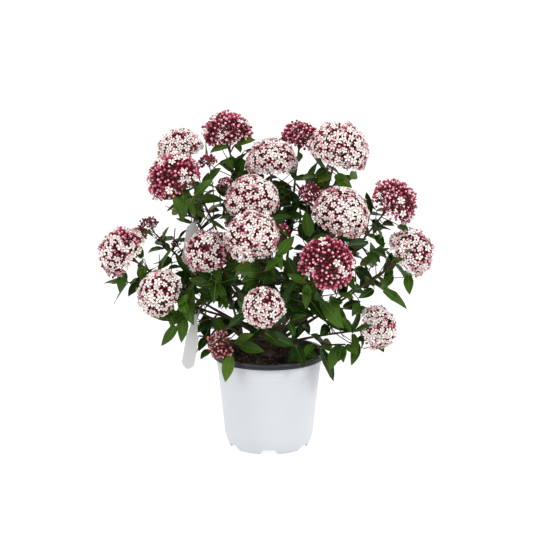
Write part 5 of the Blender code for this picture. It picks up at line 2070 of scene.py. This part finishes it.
class VIBURNUM_OT_soil(bpy.types.Operator):
    """Makes the potting mix and the chips on it"""

    bl_idname = "viburnum.soil"
    bl_label = "Potting mix"

    def execute(self, context):
        make_soil(context.scene.viburnum_soil)
        return {"FINISHED"}


class VIBURNUM_OT_branches(bpy.types.Operator):
    """Makes the main stem, boughs and twigs"""

    bl_idname = "viburnum.branches"
    bl_label = "Branches"

    def execute(self, context):
        make_branches(context.scene.viburnum_branches)
        return {"FINISHED"}


class VIBURNUM_OT_leaves(bpy.types.Operator):
    """Makes the leaves"""

    bl_idname = "viburnum.leaves"
    bl_label = "Leaves"

    def execute(self, context):
        make_leaves(context.scene.viburnum_leaves)
        return {"FINISHED"}


class VIBURNUM_OT_blossom(bpy.types.Operator):
    """Makes the florets, buds and stalks of the flower heads"""

    bl_idname = "viburnum.blossom"
    bl_label = "Blossom"

    def execute(self, context):
        make_blossom(context.scene.viburnum_blossom)
        return {"FINISHED"}


class VIBURNUM_OT_tags(bpy.types.Operator):
    """Makes the two blank tags"""

    bl_idname = "viburnum.tags"
    bl_label = "Tags"

    def execute(self, context):
        make_tags(context.scene.viburnum_tags)
        return {"FINISHED"}


SETTINGS = {
    "viburnum_pot": PotSettings,
    "viburnum_soil": SoilSettings,
    "viburnum_branches": BranchSettings,
    "viburnum_leaves": LeafSettings,
    "viburnum_blossom": BlossomSettings,
    "viburnum_tags": TagSettings,
    "viburnum_stage": StageSettings,
}
OPERATORS = (
    VIBURNUM_OT_stage,
    VIBURNUM_OT_pot,
    VIBURNUM_OT_soil,
    VIBURNUM_OT_branches,
    VIBURNUM_OT_leaves,
    VIBURNUM_OT_blossom,
    VIBURNUM_OT_tags,
)


class VIBURNUM_PT_panel(bpy.types.Panel):
    """Lists the pieces of the plant with their settings"""

    bl_idname = "VIBURNUM_PT_panel"
    bl_label = "Potted viburnum"
    bl_space_type = "VIEW_3D"
    bl_region_type = "UI"
    bl_category = "Viburnum"

    def draw(self, context):
        for operator in OPERATORS:
            box = self.layout.box()
            box.operator(operator.bl_idname)
            group = getattr(context.scene, operator.bl_idname.replace(".", "_"))
            for name in group.__annotations__:
                box.prop(group, name)


def register():
    for settings in SETTINGS.values():
        bpy.utils.register_class(settings)
    for operator in OPERATORS:
        bpy.utils.register_class(operator)
    bpy.utils.register_class(VIBURNUM_PT_panel)
    for name, settings in SETTINGS.items():
        setattr(bpy.types.Scene, name, PointerProperty(type=settings))


def unregister():
    for name in SETTINGS:
        delattr(bpy.types.Scene, name)
    bpy.utils.unregister_class(VIBURNUM_PT_panel)
    for operator in reversed(OPERATORS):
        bpy.utils.unregister_class(operator)
    for settings in SETTINGS.values():
        bpy.utils.unregister_class(settings)


def main():
    register()
    bpy.ops.viburnum.stage()
    bpy.ops.viburnum.pot()
    bpy.ops.viburnum.soil()
    bpy.ops.viburnum.branches()
    bpy.ops.viburnum.leaves()
    bpy.ops.viburnum.blossom()
    bpy.ops.viburnum.tags()


if __name__ == "__main__":
    main()
